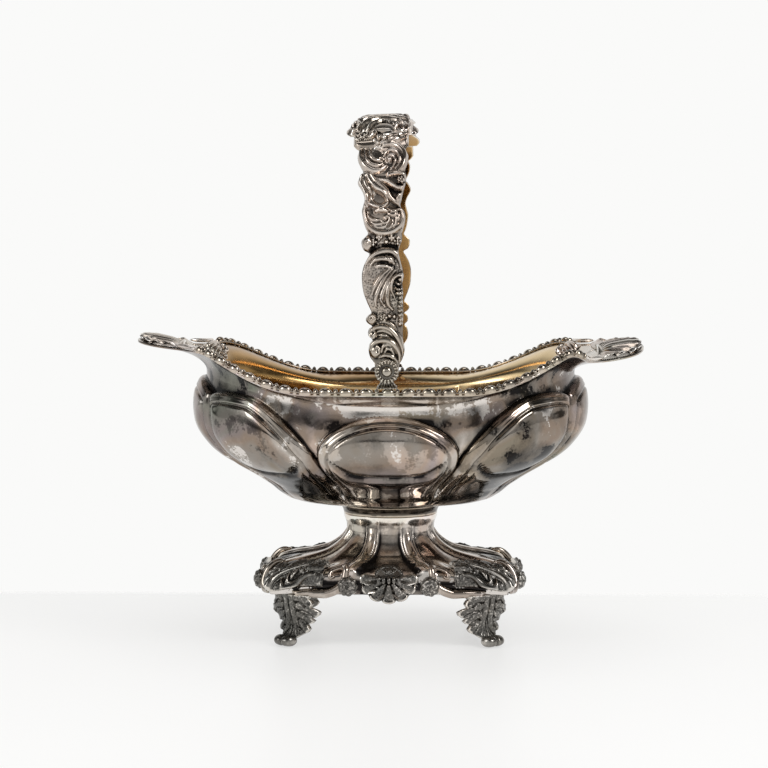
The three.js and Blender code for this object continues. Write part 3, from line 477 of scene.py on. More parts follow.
def plate_form(name, across, rows, upper, lower, under=6, stipple=None):
    """A closed plate between two skins, both given over u and v from 0 to 1, in mm."""
    around = across + under

    def shares(i, j):
        on_top = i < across
        u = np.where(on_top, i / (across - 1), 1 - (i - across) / (under - 1))
        return on_top, u, j / (rows - 1)

    def place(i, j):
        on_top, u, v = shares(i, j)
        points = np.empty((len(i), 3))
        points[on_top] = upper(u[on_top], v[on_top])
        points[~on_top] = lower(u[~on_top], v[~on_top])
        return points

    def ground(i, j):
        on_top, u, v = shares(i, j)
        return np.where(on_top, stipple(u, v), 0)

    marks = {"under": lambda i, j: i >= across}
    if stipple:
        marks["stipple"] = ground
    return ball_form(name, around, rows, place, marks)


# %% Hollows, and what each piece stands for


def mark_hollows(piece, rounds, depth):
    """Keeps how deep each point lies under its smoothed surroundings: 0 deep, 0.5 level, 1 proud by depth mm."""
    mesh = piece.data
    points = coordinates(mesh) / MM
    normals = np.empty(3 * len(mesh.vertices), np.float32)
    mesh.vertex_normals.foreach_get("vector", normals)
    ends = np.empty(2 * len(mesh.edges), np.int32)
    mesh.edges.foreach_get("vertices", ends)
    a, b = ends.reshape(-1, 2).T
    count = np.bincount(np.concatenate([a, b]), minlength=len(points)).astype(float)
    smooth = points.copy()
    for _ in range(rounds):
        total = np.empty_like(smooth)
        for axis in range(3):
            total[:, axis] = np.bincount(a, smooth[b, axis], len(points))
            total[:, axis] += np.bincount(b, smooth[a, axis], len(points))
        smooth = 0.5 * smooth + 0.5 * total / count[:, None]
    proud = np.einsum("ij,ij->i", points - smooth, normals.reshape(-1, 3))
    set_attribute(mesh, "hollow", np.clip(0.5 + proud / (2 * depth), 0, 1))


def finish_piece(piece, body, slot, materials, *nodes, rounds=12, depth=0.6):
    """Gives a piece its finish and the body it rides on, and hides the packed nodes that it stands for."""
    piece.data.materials.clear()
    for material in materials:
        piece.data.materials.append(material)
    mark_hollows(piece, rounds, depth)
    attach(piece, body)
    if nodes:
        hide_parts(*nodes)
    print(piece.name, len(piece.data.polygons), "faces")
    return piece


# %% Joined pieces and copies


def join_pieces(name, pieces):
    bpy.ops.object.select_all(action="DESELECT")
    for piece in pieces:
        piece.select_set(True)
    bpy.context.view_layer.objects.active = pieces[0]
    if len(pieces) > 1:
        bpy.ops.object.join()
    whole = bpy.context.object
    whole.name = name
    whole.data.name = name
    return whole


def copy_piece(piece, name, matrix):
    """A copy with its own mesh, moved by a matrix in metres."""
    copy = piece.copy()
    copy.data = piece.data.copy()
    copy.name = name
    copy.data.name = name
    bpy.context.collection.objects.link(copy)
    copy.data.transform(matrix)
    if matrix.determinant() < 0:
        copy.data.flip_normals()
    copy.data.update()
    return copy


# %% Small curves


def smooth_step(low, high, value):
    t = np.clip((value - low) / (high - low), 0, 1)
    return t * t * (3 - 2 * t)


def hill(distance, width):
    return np.exp(-((distance / width) ** 2))


def mix(a, b, share):
    return a + (b - a) * share


def signed_power(value, power):
    return np.sign(value) * np.abs(value) ** power


def unit(vectors):
    return vectors / np.maximum(np.linalg.norm(vectors, axis=-1, keepdims=True), 1e-9)


def curve_through(points, t):
    """A smooth curve through given (place, value) points, at every t."""
    places, values = (np.array(column, float) for column in zip(*points))
    t = np.asarray(t, float)
    last = len(places) - 1
    i = np.clip(np.searchsorted(places, t, side="left") - 1, 0, last - 1)
    before, after = np.maximum(i - 1, 0), np.minimum(i + 2, last)
    span = places[i + 1] - places[i]
    u = np.clip((t - places[i]) / span, 0, 1)
    slope_a = (values[i + 1] - values[before]) / (places[i + 1] - places[before]) * span
    slope_b = (values[after] - values[i]) / (places[after] - places[i]) * span
    u2, u3 = u * u, u * u * u
    return (
        (2 * u3 - 3 * u2 + 1) * values[i] + (u3 - 2 * u2 + u) * slope_a
        + (3 * u2 - 2 * u3) * values[i + 1] + (u3 - u2) * slope_b
    )


def folded(angle):
    turned = np.mod(angle, 180)
    return np.where(turned > 90, 180 - turned, turned)


print("100 degrees round the dish is like", folded(100), "in its first quarter")

# %% [markdown]
# The bowl was raised from one sheet. Its belly is chased into eight lobes, each framed by a rounded
# moulding with a crisp inner line and a cushion inside, and its plain neck flares to a rim that runs out
# into two ears. The skin is given by an angle round the dish and a height share, the same formula that
# the packed bowl uses, with the chasing added. The grid is denser at the mouldings and at the notches
# between the lobes, and it goes up outside, over the edge, and down inside, so one closed wall is left.

# %% Bowl sizes, in millimetres
EAR_REACH, RIM_LENGTH, RIM_DEPTH, RIM_SQUARE = 131, 104, 89, 2.75
NECK_LENGTH, NECK_DEPTH, SHEET = 95.7, 72, 1
BOWL_FLOOR_Z, SIDE_NECK_Z, END_NECK_RISE = 68.7, 122, 16
SIDE_RIM_Z, SHOULDER_RISE, EAR_TIP_RISE, EAR_DROOP = 130.2, 18.6, 4.6, 6
NECK_SWEEP = math.radians(80)
LOBES = 8
LOBE_HEIGHT = 6.6
LOBE_DROP, SIDE_NOTCH_DROP, END_NOTCH_DROP = 2.5, 24, 6
MOULDING, MEDALLION_FOOT_Z, MEDALLION_FOOT_RISE = 5.8, 92.2, 22
FIT_GAP = 0.3
BELLY = [
    (0, 0.28), (0.025, 0.49), (0.08, 0.58), (0.18, 0.645), (0.3, 0.735),
    (0.41, 0.845), (0.52, 0.94), (0.66, 1), (1, 1),
]
print("bowl", 2 * EAR_REACH, "mm over the ears, belly from", BOWL_FLOOR_Z, "to", SIDE_NECK_Z, "mm")


def neck_z(angle):
    return SIDE_NECK_Z + END_NECK_RISE * np.cos(np.radians(angle)) ** 2


def rim_point(angle):
    fold = folded(angle)
    cosine, sine = np.cos(np.radians(angle)), np.sin(np.radians(angle))
    tongue = (EAR_REACH - RIM_LENGTH) * np.exp(-((fold / 11.5) ** 3))
    x = RIM_LENGTH * signed_power(cosine, 2 / RIM_SQUARE) + np.sign(cosine) * tongue
    y = RIM_DEPTH * signed_power(sine, 2 / RIM_SQUARE)
    signed = np.mod(angle + 180, 360) - 180
    droop = EAR_DROOP * smooth_step(-38, -12, signed) * (1 - smooth_step(-12, 14, signed))
    shoulder = SHOULDER_RISE * (1 - smooth_step(28, 76, fold))
    return np.stack([x, y, SIDE_RIM_Z + shoulder + EAR_TIP_RISE * hill(fold, 9.5) - droop], -1)

# %% Curves of the bowl, from the floor to the rim


def bowl_base(angle, height):
    angle, height = np.broadcast_arrays(np.asarray(angle, float), np.asarray(height, float))
    cosine, sine = np.cos(np.radians(angle)), np.sin(np.radians(angle))
    neck = neck_z(angle)
    share = curve_through(BELLY, np.minimum(height, 1))
    belly = np.stack([
        NECK_LENGTH * share * cosine, NECK_DEPTH * share * sine, mix(BOWL_FLOOR_Z, neck, np.minimum(height, 1)),
    ], -1)
    turn = NECK_SWEEP * np.maximum(height - 1, 0)
    out = ((1 - np.cos(turn)) / (1 - math.cos(NECK_SWEEP)))[..., None]
    up = (np.sin(turn) / math.sin(NECK_SWEEP))
    rim = rim_point(angle)
    plan = mix(np.stack([NECK_LENGTH * cosine, NECK_DEPTH * sine], -1), rim[..., :2], out)
    flare = np.concatenate([plan, mix(neck, rim[..., 2], up)[..., None]], -1)
    return np.where((height <= 1)[..., None], belly, flare)


def bowl_normal(angle, height):
    along = bowl_base(angle, np.minimum(height + 0.01, 2)) - bowl_base(angle, np.maximum(height - 0.01, 0))
    around = bowl_base(angle + 1, height) - bowl_base(angle - 1, height)
    return unit(np.cross(around, along))

# %% Lobes and medallions of the bowl


def lobe_top(angle):
    """Where a meridian leaves the lobe: side across the lobe from -1 to 1, height share, and rise in mm."""
    width = 360 / LOBES
    nearest = np.rint(angle / width)
    side = (angle - nearest * width) / (width / 2)
    kind = np.mod(nearest, 4)
    toward_side = (kind == 2) | ((kind == 1) & (side > 0)) | ((kind == 3) & (side < 0))
    drop = np.where(toward_side, SIDE_NOTCH_DROP, END_NOTCH_DROP)
    roundness = np.where(kind == 2, 2.0, 1.6)
    bow = np.clip(1 - np.abs(side) ** roundness, 0, 1)
    neck = neck_z(angle)
    top = neck - LOBE_DROP - drop * (1 - bow ** (1 / roundness + 0.15))
    return side, (top - BOWL_FLOOR_Z) / (neck - BOWL_FLOOR_Z), neck - BOWL_FLOOR_Z


def soft_least(a, b, blend):
    share = np.clip(0.5 + 0.5 * (b - a) / blend, 0, 1)
    return mix(b, a, share) - blend * share * (1 - share)


def quarter_round(distance, radius):
    t = np.clip(distance / radius, 0, 1)
    return np.sqrt(np.clip(1 - (1 - t) ** 2, 0, 1))


def lobe_lift(angle, height):
    """The chasing of the belly, as a lift out of the plain sheet in mm."""
    angle, height = np.broadcast_arrays(np.asarray(angle, float), np.asarray(height, float))
    side, top, rise = lobe_top(angle)
    girth = curve_through(BELLY, np.minimum(height, 1)) * (NECK_LENGTH + NECK_DEPTH) / 2
    from_side = (1 - np.abs(side)) * girth * math.pi / LOBES
    ahead, behind = lobe_top(angle + 0.25), lobe_top(angle - 0.25)
    slope = (ahead[1] * ahead[2] - behind[1] * behind[2]) / (girth * math.radians(0.5))
    from_top = (top - height) * rise / np.sqrt(1 + np.minimum(slope ** 2, 9))
    inward = soft_least(from_side, from_top, 1.6)
    level = mix(BOWL_FLOOR_Z, neck_z(angle), np.minimum(height, 1))
    foot = MEDALLION_FOOT_Z + MEDALLION_FOOT_RISE * side ** 4
    inner = soft_least(inward - MOULDING, np.abs(level - foot), 1.2)
    swell = LOBE_HEIGHT * smooth_step(-0.02, 0.45, height)
    step = 0.68 * quarter_round(inward, 4) + 0.08 * smooth_step(4, MOULDING, inward)
    bead = 0.45 * hill(inward - 4.5, 0.7)
    crease = 0.8 * hill(inner, 0.75) * (inward > MOULDING - 2)
    cushion = 0.24 * quarter_round(inner, 10)
    lift = swell * (step + cushion) + smooth_step(0.1, 0.3, height) * (bead - crease)
    return np.where(height >= top, 0, lift)


def bowl_skin(angle, height, lift):
    """Positive lift goes out and down, away from the inside of the bowl."""
    reach = lobe_lift(angle, height) + lift
    return bowl_base(angle, height) + bowl_normal(angle, height) * np.asarray(reach)[..., None]


# %% Bowl
COLUMNS_PER_LOBE = 60
lobe_share = np.arange(COLUMNS_PER_LOBE) / COLUMNS_PER_LOBE * 2 - 1
lobe_share = 0.4 * lobe_share + 0.6 * np.sin(lobe_share * math.pi / 2)
COLUMN_ANGLES = np.concatenate([(lobe + lobe_share / 2) * 360 / LOBES for lobe in range(LOBES)])


def bowl_rows():
    """Each row is a zone and a share: up the lobe, from the lobe to the neck, up the neck, and back inside."""
    lobe = np.concatenate([np.linspace(0, 0.84, 76, endpoint=False), np.linspace(0.84, 1, 26)])
    outside = [("lobe", share, 0) for share in lobe]
    outside += [("band", share, 0) for share in np.linspace(0, 1, 9)[1:]]
    outside += [("neck", share, 0) for share in np.linspace(0, 1, 28)[1:]]
    inside = [("neck", share, -SHEET) for share in np.linspace(1, 0, 16)]
    inside += [("lobe", share, -SHEET) for share in np.linspace(1, 0, 40)]
    return outside, inside


OUTER_ROWS, INNER_ROWS = bowl_rows()
BOWL_ROWS = OUTER_ROWS + INNER_ROWS


def bowl_place(i, j):
    angle = COLUMN_ANGLES[i]
    zone = np.array([row[0] for row in BOWL_ROWS])[j]
    share = np.array([row[1] for row in BOWL_ROWS])[j]
    lift = np.array([row[2] for row in BOWL_ROWS], float)[j]
    top = lobe_top(angle)[1]
    height = np.where(zone == "lobe", share * top, np.where(zone == "band", mix(top, 1, share), 1 + share))
    return bowl_skin(angle, height, lift)


inside = {"inside": lambda i, j: j >= len(OUTER_ROWS)}
bowl = ball_form("bowl_skin", len(COLUMN_ANGLES), len(BOWL_ROWS), bowl_place, inside)
finish_piece(bowl, "dish", "bowl_silver", [BOWL_SILVER, GILT], "bowl", rounds=60, depth=1.3)
gild_marked(bowl.data, "inside")

# %% [markdown]
# Tarnish isn't the same all over, and light and shade are painted onto the bowl as well. Each spot below has a
# middle, a radius and how much darker it is. The darker spots are partly tarnish and partly painted shade, and those
# of less than nothing are painted highlights. The neck gets a painted reflection along its sides, and the gilding
# gets painted light, brighter towards the right and darker towards the left. The finish reads all of it from one
# point attribute.

# %% Tarnish and painted light on the bowl
BOWL_PAINTED_LIGHT_AND_TARNISH = [
    ((62, -48, 100), 28, 0.52), ((-84, -36, 96), 34, 0.3), ((8, -68, 100), 12, -0.26), ((-72, -40, 106), 11, -0.5),
    ((-56, -46, 92), 8, -0.4), ((38, -56, 86), 10, -0.35), ((-52, -50, 84), 22, 0.42), ((30, -52, 80), 12, -0.14),
    ((-66, 48, 98), 24, 0.18), ((-8, 68, 100), 12, -0.26),
]
NECK_PAINTED_REFLECTION, NECK_REFLECTION_HALF, GILT_PAINTED_LIGHT, GILT_QUARTER = 0.75, 62, 0.6, 70


def bowl_outside_painted_light_and_tarnish(points):
    total = np.zeros(len(points))
    for middle, radius, amount in BOWL_PAINTED_LIGHT_AND_TARNISH:
        total += amount * hill(np.linalg.norm(points - np.array(middle), axis=1), radius)
    height = points[:, 2]
    # A band of the neck is lightened as a painted reflection of the bright floor in front.
    neck = smooth_step(116, 121, height) * (1 - smooth_step(127, 132, height))
    return total - NECK_PAINTED_REFLECTION * hill(points[:, 0], NECK_REFLECTION_HALF) * neck


points = coordinates(bowl.data) / MM
# The gilding inside gets painted light: a painted highlight towards the right and painted shade towards the left.
gilt_painted_light = -GILT_PAINTED_LIGHT * np.sin(np.clip(points[:, 0] / GILT_QUARTER, -1.5, 1.5))
spots = mix(bowl_outside_painted_light_and_tarnish(points), gilt_painted_light, marked(bowl.data, "inside"))
set_attribute(bowl.data, "spots", spots)
print("spots from", round(spots.min(), 2), "to", round(spots.max(), 2))

# %% [markdown]
# Ornament on the border, the ears, the feet and the handle is chased or cast in low relief: long ridges
# that taper, scrolls that wind up, round bosses and matted ground. On a strip, all of it is a height over
# two flat measures, so a small class keeps that height field and adds one stroke at a time, as a chaser
# works. A stroke only raises the points near its own line.

# %% Chasing on a strip


def smooth_route(points, per_span=7):
    """A smooth line through points, for a stroke."""
    points = np.array(points, float)
    padded = np.vstack([2 * points[0] - points[1], points, 2 * points[-1] - points[-2]])
    route = []
    for k in range(1, len(padded) - 2):
        a, b, c, d = padded[k - 1:k + 3]
        for t in np.arange(per_span) / per_span:
            route.append(0.5 * (2 * b + (c - a) * t + (2 * a - 5 * b + 4 * c - d) * t ** 2
                                + (3 * b - 3 * c + d - a) * t ** 3))
    return np.vstack([route, points[-1]])


class Chasing:
    """The height of a chased strip, in mm, over flat measures x and y."""

    def __init__(self, x, y, ground):
        self.x, self.y = x, y
        self.ground = ground
        self.height = ground.copy()
        self.matting = np.zeros_like(x)

    def near(self, route, reach):
        low, high = route.min(axis=0) - reach, route.max(axis=0) + reach
        close = (self.x > low[0]) & (self.x < high[0]) & (self.y > low[1]) & (self.y < high[1])
        where = np.nonzero(close)[0]
        x, y = self.x[where], self.y[where]
        best, share = np.full(len(x), 1e9), np.zeros(len(x))
        for k in range(len(route) - 1):
            step = route[k + 1] - route[k]
            along = ((x - route[k][0]) * step[0] + (y - route[k][1]) * step[1]) / max(step @ step, 1e-9)
            along = np.clip(along, 0, 1)
            gap = np.hypot(x - route[k][0] - along * step[0], y - route[k][1] - along * step[1])
            closer = gap < best
            best[closer] = gap[closer]
            share[closer] = (k + along[closer]) / (len(route) - 1)
        return where, best, share

    def ridge(self, points, width, height, ends=(0.35, 0.35), sharp=0.8, smooth=True, polish=0.85):
        """A raised stroke that tapers to its ends and takes matting off by its polish."""
        route = smooth_route(points) if smooth else np.array(points, float)
        where, gap, share = self.near(route, width)
        taper = mix(ends[0], 1, smooth_step(0, 0.4, share)) * mix(ends[1], 1, smooth_step(0, 0.4, 1 - share))
        body = np.clip(1 - (gap / (width * taper)) ** 2, 0, 1) ** sharp
        raised = self.ground[where] + height * taper ** 0.7 * body
        inside = gap < width * taper
        self.height[where[inside]] = np.maximum(self.height[where[inside]], raised[inside])
        self.matting[where[inside]] *= 1 - polish

    def groove(self, points, width, depth):
        route = smooth_route(points)
        where, gap, share = self.near(route, 2 * width)
        ends = smooth_step(0, 0.15, share) * smooth_step(0, 0.15, 1 - share)
        self.height[where] -= depth * hill(gap, width * 0.6) * ends

    def oval(self, x, y, wide, tall, turn=0.0):
        """The square of the distance from an oval's middle, 1 on its edge."""
        cosine, sine = math.cos(math.radians(turn)), math.sin(math.radians(turn))
        across = ((self.x - x) * cosine + (self.y - y) * sine) / wide
        along = ((self.y - y) * cosine - (self.x - x) * sine) / tall
        return across ** 2 + along ** 2

    def boss(self, x, y, wide, tall, height, sharp=0.5):
        body = np.clip(1 - self.oval(x, y, wide, tall), 0, 1)
        inside = body > 0
        raised = self.ground + height * body ** sharp
        self.height[inside] = np.maximum(self.height[inside], raised[inside])
        self.matting[inside] = 0

    def hole(self, x, y, wide, tall, depth, turn=0.0):
        self.height -= depth * np.exp(-(self.oval(x, y, wide, tall, turn) ** 2))

    def matt(self, x, y, wide, tall):
        self.matting[self.oval(x, y, wide, tall) < 1] = 1

    def spiral(self, x, y, radius, turns, start, width, height, hand=1, core=0.16):
        count = max(int(14 * turns), 8)
        share = np.arange(count + 1) / count
        angle = math.radians(start) + hand * 2 * math.pi * turns * share
        reach = radius * (core + (1 - core) * (1 - share) ** 1.15)
        route = np.stack([x + reach * np.cos(angle), y + reach * np.sin(angle)], -1)
        self.ridge(route, width, height, ends=(0.6, 0.9), smooth=False)
        self.boss(x, y, radius * core * 1.6, radius * core * 1.6, height * 1.1)

    def fan(self, x, y, first, last, count, inner, outer, width, height):
        for angle in np.radians(np.linspace(first, last, count)):
            way = np.array([math.cos(angle), math.sin(angle)])
            start, end = np.array([x, y]) + inner * way, np.array([x, y]) + outer * way
            self.ridge([start, (start + end) / 2, end], width, height, ends=(0.35, 0.9))

    def beads(self, points, radius, height):
        for x, y in points:
            self.boss(x, y, radius, radius, height)


print("strokes of a chaser", [name for name in vars(Chasing) if not name.startswith("_")])

# %% [markdown]
# A cast border runs along each long side of the rim: a narrow strip with a row of eggs, each parted from
# the next by a short bar. The strip follows the rim edge, so its section is swept along it. One egg and
# one bar are modelled by hand from a ball, drawn out to their size and cut flat below, and then copied
# along the strip.

# %% Rim borders
BORDER_END_ANGLE = 24
BORDER_STEPS, BORDER_SAMPLES = 220, 900
EGG_SIZE, BAR_SIZE = (6.9, 4.7, 2.9), (2.5, 4.6, 2.6)
EGG_PITCH, EGG_INWARD, EGG_UP, EGG_LEAN = 9.9, 1.25, 0.35, math.radians(30)
BORDER_SECTION = [
    (-0.1, 0.3), (-0.6, 0.4), (-0.75, 0.65), (-0.6, 0.9), (-0.1, 0.95), (0.4, 0.8), (1.0, 0.75),
    (3.8, 0.75), (4.2, 1.0), (4.4, 1.3), (4.75, 1.3), (5.0, 0.9), (4.8, 0.3), (2.4, 0.3),
]


def rim_frame(angle):
    edge = bowl_skin(angle, 2, -SHEET)
    inward = unit(bowl_skin(angle, 1.9, -SHEET) - edge)
    return edge, inward, -bowl_normal(angle, 2)


def make_egg(name, length, width, height):
    bpy.ops.object.select_all(action="DESELECT")
    bpy.ops.mesh.primitive_uv_sphere_add(segments=16, ring_count=10, radius=0.5 * MM)
    egg = bpy.context.object
    egg.name = name
    bpy.ops.object.mode_set(mode="EDIT")
    bpy.ops.mesh.select_all(action="SELECT")
    bpy.ops.transform.resize(value=(length, width, height * 2))
    bpy.ops.mesh.bisect(plane_co=(0, 0, 0), plane_no=(0, 0, -1), use_fill=True, clear_outer=True)
    bpy.ops.object.mode_set(mode="OBJECT")
    bpy.ops.object.shade_smooth_by_angle(angle=math.radians(50))
    return egg


def axes_matrix(x_axis, y_axis, z_axis, place):
    matrix = Matrix.Identity(4)
    for column, axis in enumerate((x_axis, y_axis, z_axis, place)):
        scale = MM if column == 3 else 1
        for row in range(3):
            matrix[row][column] = float(axis[row]) * scale
    return matrix

# %% Both borders


def border_strip(direction):
    section = np.array(BORDER_SECTION)

    def place(i, j):
        share = j / (BORDER_STEPS - 1)
        angle = direction * mix(BORDER_END_ANGLE, 180 - BORDER_END_ANGLE, share)
        edge, inward, up = rim_frame(angle)
        across, rise = section[i].T
        return edge + inward * across[:, None] + up * rise[:, None]

    return ball_form("border_strip", len(section), BORDER_STEPS, place)


def add_border(side, direction):
    egg, bar = make_egg("egg", *EGG_SIZE), make_egg("bar", *BAR_SIZE)
    edge, inward, up = rim_frame(direction * np.linspace(
        BORDER_END_ANGLE + 1, 179 - BORDER_END_ANGLE, BORDER_SAMPLES
    ))
    middle = edge + EGG_INWARD * inward + EGG_UP * up
    length = np.concatenate([[0], np.cumsum(np.linalg.norm(np.diff(middle, axis=0), axis=1))])
    count = round(length[-1] / EGG_PITCH)
    pitch = length[-1] / count
    parts = [border_strip(direction)]
    for k in range(count):
        for kind, share in ((bar, 0.0), (egg, 0.5)):
            i = int(round(np.interp((k + share) * pitch, length, np.arange(BORDER_SAMPLES))))
            along = unit(middle[min(i + 1, BORDER_SAMPLES - 1)] - middle[max(i - 1, 0)])
            lifted = unit(up[i] * math.cos(EGG_LEAN) - inward[i] * math.sin(EGG_LEAN))
            lifted = unit(lifted - along * (lifted @ along))
            across = np.cross(lifted, along)
            parts.append(copy_piece(kind, "element", axes_matrix(along, across, lifted, middle[i])))
    for model in (egg, bar):
        bpy.data.objects.remove(model)
    border = join_pieces(f"egg_border_{side}", parts)
    return finish_piece(border, "dish", "cast_silver", [EDGE_SILVER], f"rim_border_{side}", rounds=7, depth=0.5)


add_border("front", -1)
add_border("back", 1)

# %% [markdown]
# Each ear carries a cast shell with ribs that spread from a small boss, and a rolled edge runs from it to
# the border. Beside the ears a leaf with a scrolled end hides where border and ear meet. Shell and leaf
# both lie on the rim, so their undersides are the rim's own skin with a hair's gap.

# %% Ears
EAR_ANGLE = {"right": 0, "left": 180}
EAR_HALF_ANGLE, EAR_INNER, EAR_OUTER = 12.5, 0.56, 0.972
EAR_RIBS = 9
ROLL_RADIUS, ROLL_AROUND, ROLL_ROWS = 1.15, 14, 40


def ear_place(middle_angle, u, v):
    side = 2 * u - 1
    spread = np.sqrt(np.clip(1 - (1 - v) ** 2 * 0.86, 0, 1))
    scallop = 0.018 * np.abs(np.cos(side * EAR_RIBS * math.pi / 2)) * smooth_step(0.7, 1, v)
    angle = middle_angle + side * EAR_HALF_ANGLE * spread
    return angle, 1 + mix(EAR_INNER, EAR_OUTER - 0.03 * side * side, v) + scallop


def ear_rise(u, v):
    side = 2 * u - 1
    rib = np.abs(np.cos(side * EAR_RIBS * math.pi / 2)) ** 1.2
    envelope = smooth_step(0.02, 0.25, v) * mix(0.7, 1, smooth_step(0.5, 0.95, v))
    boss = 2.6 * hill(v - 0.04, 0.09) * hill(side, 0.75)
    fine = 0.12 * np.cos(side * EAR_RIBS * math.pi * 2) * smooth_step(0.3, 0.6, v)
    roll = 0.7 * hill(v - 0.93, 0.06) * rib
    crown = 1.4 * (1 - side ** 2) * smooth_step(0.05, 0.4, v) * (1 - smooth_step(0.75, 1, v))
    return 0.5 + np.maximum(envelope * (1.25 * rib + fine) + roll + crown, boss)


def rolled_edge(name, start, end):
    """A round bead along the rim's edge between two angles."""

    def place(i, j):
        share = j / (ROLL_ROWS - 1)
        edge, inward, up = rim_frame(mix(start, end, share))
        radius = ROLL_RADIUS * np.sqrt(np.clip(1 - (2 * share - 1) ** 6, 0.05, 1))
        turn = 2 * math.pi * i / ROLL_AROUND
        across = 0.3 + radius * np.cos(turn)
        rise = FIT_GAP + 1.2 + radius * np.sin(turn)
        return edge + inward * across[:, None] + up * rise[:, None]

    return ball_form(name, ROLL_AROUND, ROLL_ROWS, place)


def add_ear(side):
    middle = EAR_ANGLE[side]

    def upper(u, v):
        angle, height = ear_place(middle, u, v)
        return bowl_skin(angle, height, -(SHEET + FIT_GAP + ear_rise(u, v)))

    def lower(u, v):
        angle, height = ear_place(middle, u, v)
        return bowl_skin(angle, height, -(SHEET + FIT_GAP) * np.ones_like(u))

    shell = plate_form("fan", 130, 70, upper, lower, under=30)
    edges = [
        rolled_edge("edge", middle + hand * (EAR_HALF_ANGLE + 0.5), middle + hand * (BORDER_END_ANGLE - 0.3))
        for hand in (-1, 1)
    ]
    ear = join_pieces(f"ear_fan_{side}", [shell] + edges)
    finish_piece(ear, "dish", "cast_silver", [EAR_SILVER], f"ear_shell_{side}", rounds=12, depth=0.45)


for side in EAR_ANGLE:
    add_ear(side)

# %% Leaves beside the ears
LEAF_MIDDLE = 19
LEAF_LENGTH, LEAF_DEPTH = 19.0, 11.0
MM_PER_DEGREE = 1.7
RIM_LEAVES = {
    "right_back": (LEAF_MIDDLE, 1), "left_back": (180 - LEAF_MIDDLE, -1),
    "left_front": (180 + LEAF_MIDDLE, 1), "right_front": (-LEAF_MIDDLE, -1),
}


def leaf_chasing(u, v):
    """Leaf with a scrolled end, x away from the ear and y outward, both in mm."""
    x, y = (u - 0.5) * LEAF_LENGTH, v * LEAF_DEPTH
    edge = smooth_step(0, 0.12, u) * smooth_step(0, 0.12, 1 - u) * smooth_step(0, 0.1, v) * smooth_step(0, 0.1, 1 - v)
    work = Chasing(x.copy(), y.copy(), 0.25 + 0.9 * edge)
    work.spiral(6.3, 4.4, 3.1, 1.2, 150, 1.0, 2.2, hand=-1)
    work.ridge([(6.5, 8.6), (2.0, 9.6), (-4.5, 8.8), (-9.0, 6.0)], 1.5, 2.0)
    for k, reach in enumerate((7.6, 5.6, 3.6)):
        work.ridge([(3.4 - k, 5.4 - 0.8 * k), (-1.5, reach), (-8.3 + 0.8 * k, reach - 2.6)], 1.15, 1.9 - 0.2 * k)
    work.beads([(-8.2, 7.6), (0.2, 1.8)], 1.2, 2.2)
    return work.height


def add_rim_leaf(side, middle, hand):
    def skin(u, v, rise):
        x = (u - 0.5) * LEAF_LENGTH * (0.62 + 0.38 * np.sin(math.pi * (0.1 + 0.8 * v)))
        return bowl_skin(middle + hand * x / MM_PER_DEGREE, 1 + mix(0.3, 0.83, v), -(SHEET + FIT_GAP + rise))

    leaf = plate_form(
        f"rim_acanthus_{side}", 90, 60, lambda u, v: skin(u, v, leaf_chasing(u, v)),
        lambda u, v: skin(u, v, np.zeros_like(u)), under=20,
    )
    finish_piece(leaf, "dish", "cast_silver", [EAR_SILVER], f"rim_leaf_{side}", rounds=10, depth=0.5)


for side, (middle, hand) in RIM_LEAVES.items():
    add_rim_leaf(side, middle, hand)

# %% [markdown]
# The pedestal is spun to a waist and then chased: eight broad panels run down it, parted by half-round
# mouldings between two fine fillets, and the foot of it spreads to an oblong with swelled corners. It is
# open below. The same formula as the packed one gives its skin, with the mouldings added.

# %% Pedestal sizes, in millimetres
COLLAR_HEIGHT, COLLAR_WALL = 4.8, 3
STEM_TOP_RADIUS, WAIST_RADIUS, WAIST_Z = 24.4, 23, 57.5
BASE_LENGTH, BASE_DEPTH, BASE_SQUARE = 63, 42, 4.5
CORNER_SWELL, CORNER_SWELL_ANGLE = 7, 12
CORNER_DROOP, CORNER_DROOP_ANGLE = 4.5, 15
FOOTING_Z, BASE_SHEET = 26.5, 1.1
STEM_TOP_Z = BOWL_FLOOR_Z - FIT_GAP - COLLAR_HEIGHT - FIT_GAP
SPREAD = [
    (0, 0), (0.12, 0), (0.25, 0.012), (0.38, 0.09), (0.52, 0.245), (0.64, 0.43), (0.82, 0.8),
    (0.91, 0.955), (0.96, 1), (1, 0.985),
]
FALL = [
    (0, STEM_TOP_Z), (0.12, WAIST_Z), (0.25, 53.5), (0.38, 49), (0.52, 44.6), (0.64, 42.2),
    (0.82, 38.9), (0.91, 35.8), (0.96, 31), (1, FOOTING_Z),
]
PARTINGS = [(0, 8.8), (0.25, 8.9), (0.38, 9.6), (0.52, 11.6), (0.64, 14), (0.82, 18.6), (0.93, 20.6), (1, 21)]
MOULDING_HEIGHT, FILLET_HEIGHT, PANEL_DEPTH = 1.5, 0.7, 0.45
print("pedestal from", FOOTING_Z, "to", round(STEM_TOP_Z, 1), "mm")


def base_edge(angle):
    fold = folded(angle)
    corner = CORNER_SWELL * hill(fold - 45, CORNER_SWELL_ANGLE)
    along = signed_power(np.cos(np.radians(angle)), 2 / BASE_SQUARE)
    across = signed_power(np.sin(np.radians(angle)), 2 / BASE_SQUARE)
    return np.stack([along * (BASE_LENGTH + corner), across * (BASE_DEPTH + corner)], -1)


def pedestal_base(angle, fall):
    angle, fall = np.broadcast_arrays(np.asarray(angle, float), np.asarray(fall, float))
    round_way = np.stack([np.cos(np.radians(angle)), np.sin(np.radians(angle))], -1)
    start = mix(STEM_TOP_RADIUS, WAIST_RADIUS, smooth_step(0, 0.12, fall))[..., None]
    plan = mix(start * round_way, base_edge(angle), curve_through(SPREAD, fall)[..., None])
    shows = smooth_step(0.4, 0.82, fall) * (1 - smooth_step(0.93, 1, fall))
    droop = CORNER_DROOP * hill(folded(angle) - 45, CORNER_DROOP_ANGLE) * shows
    return np.concatenate([plan, (curve_through(FALL, fall) - droop)[..., None]], -1)


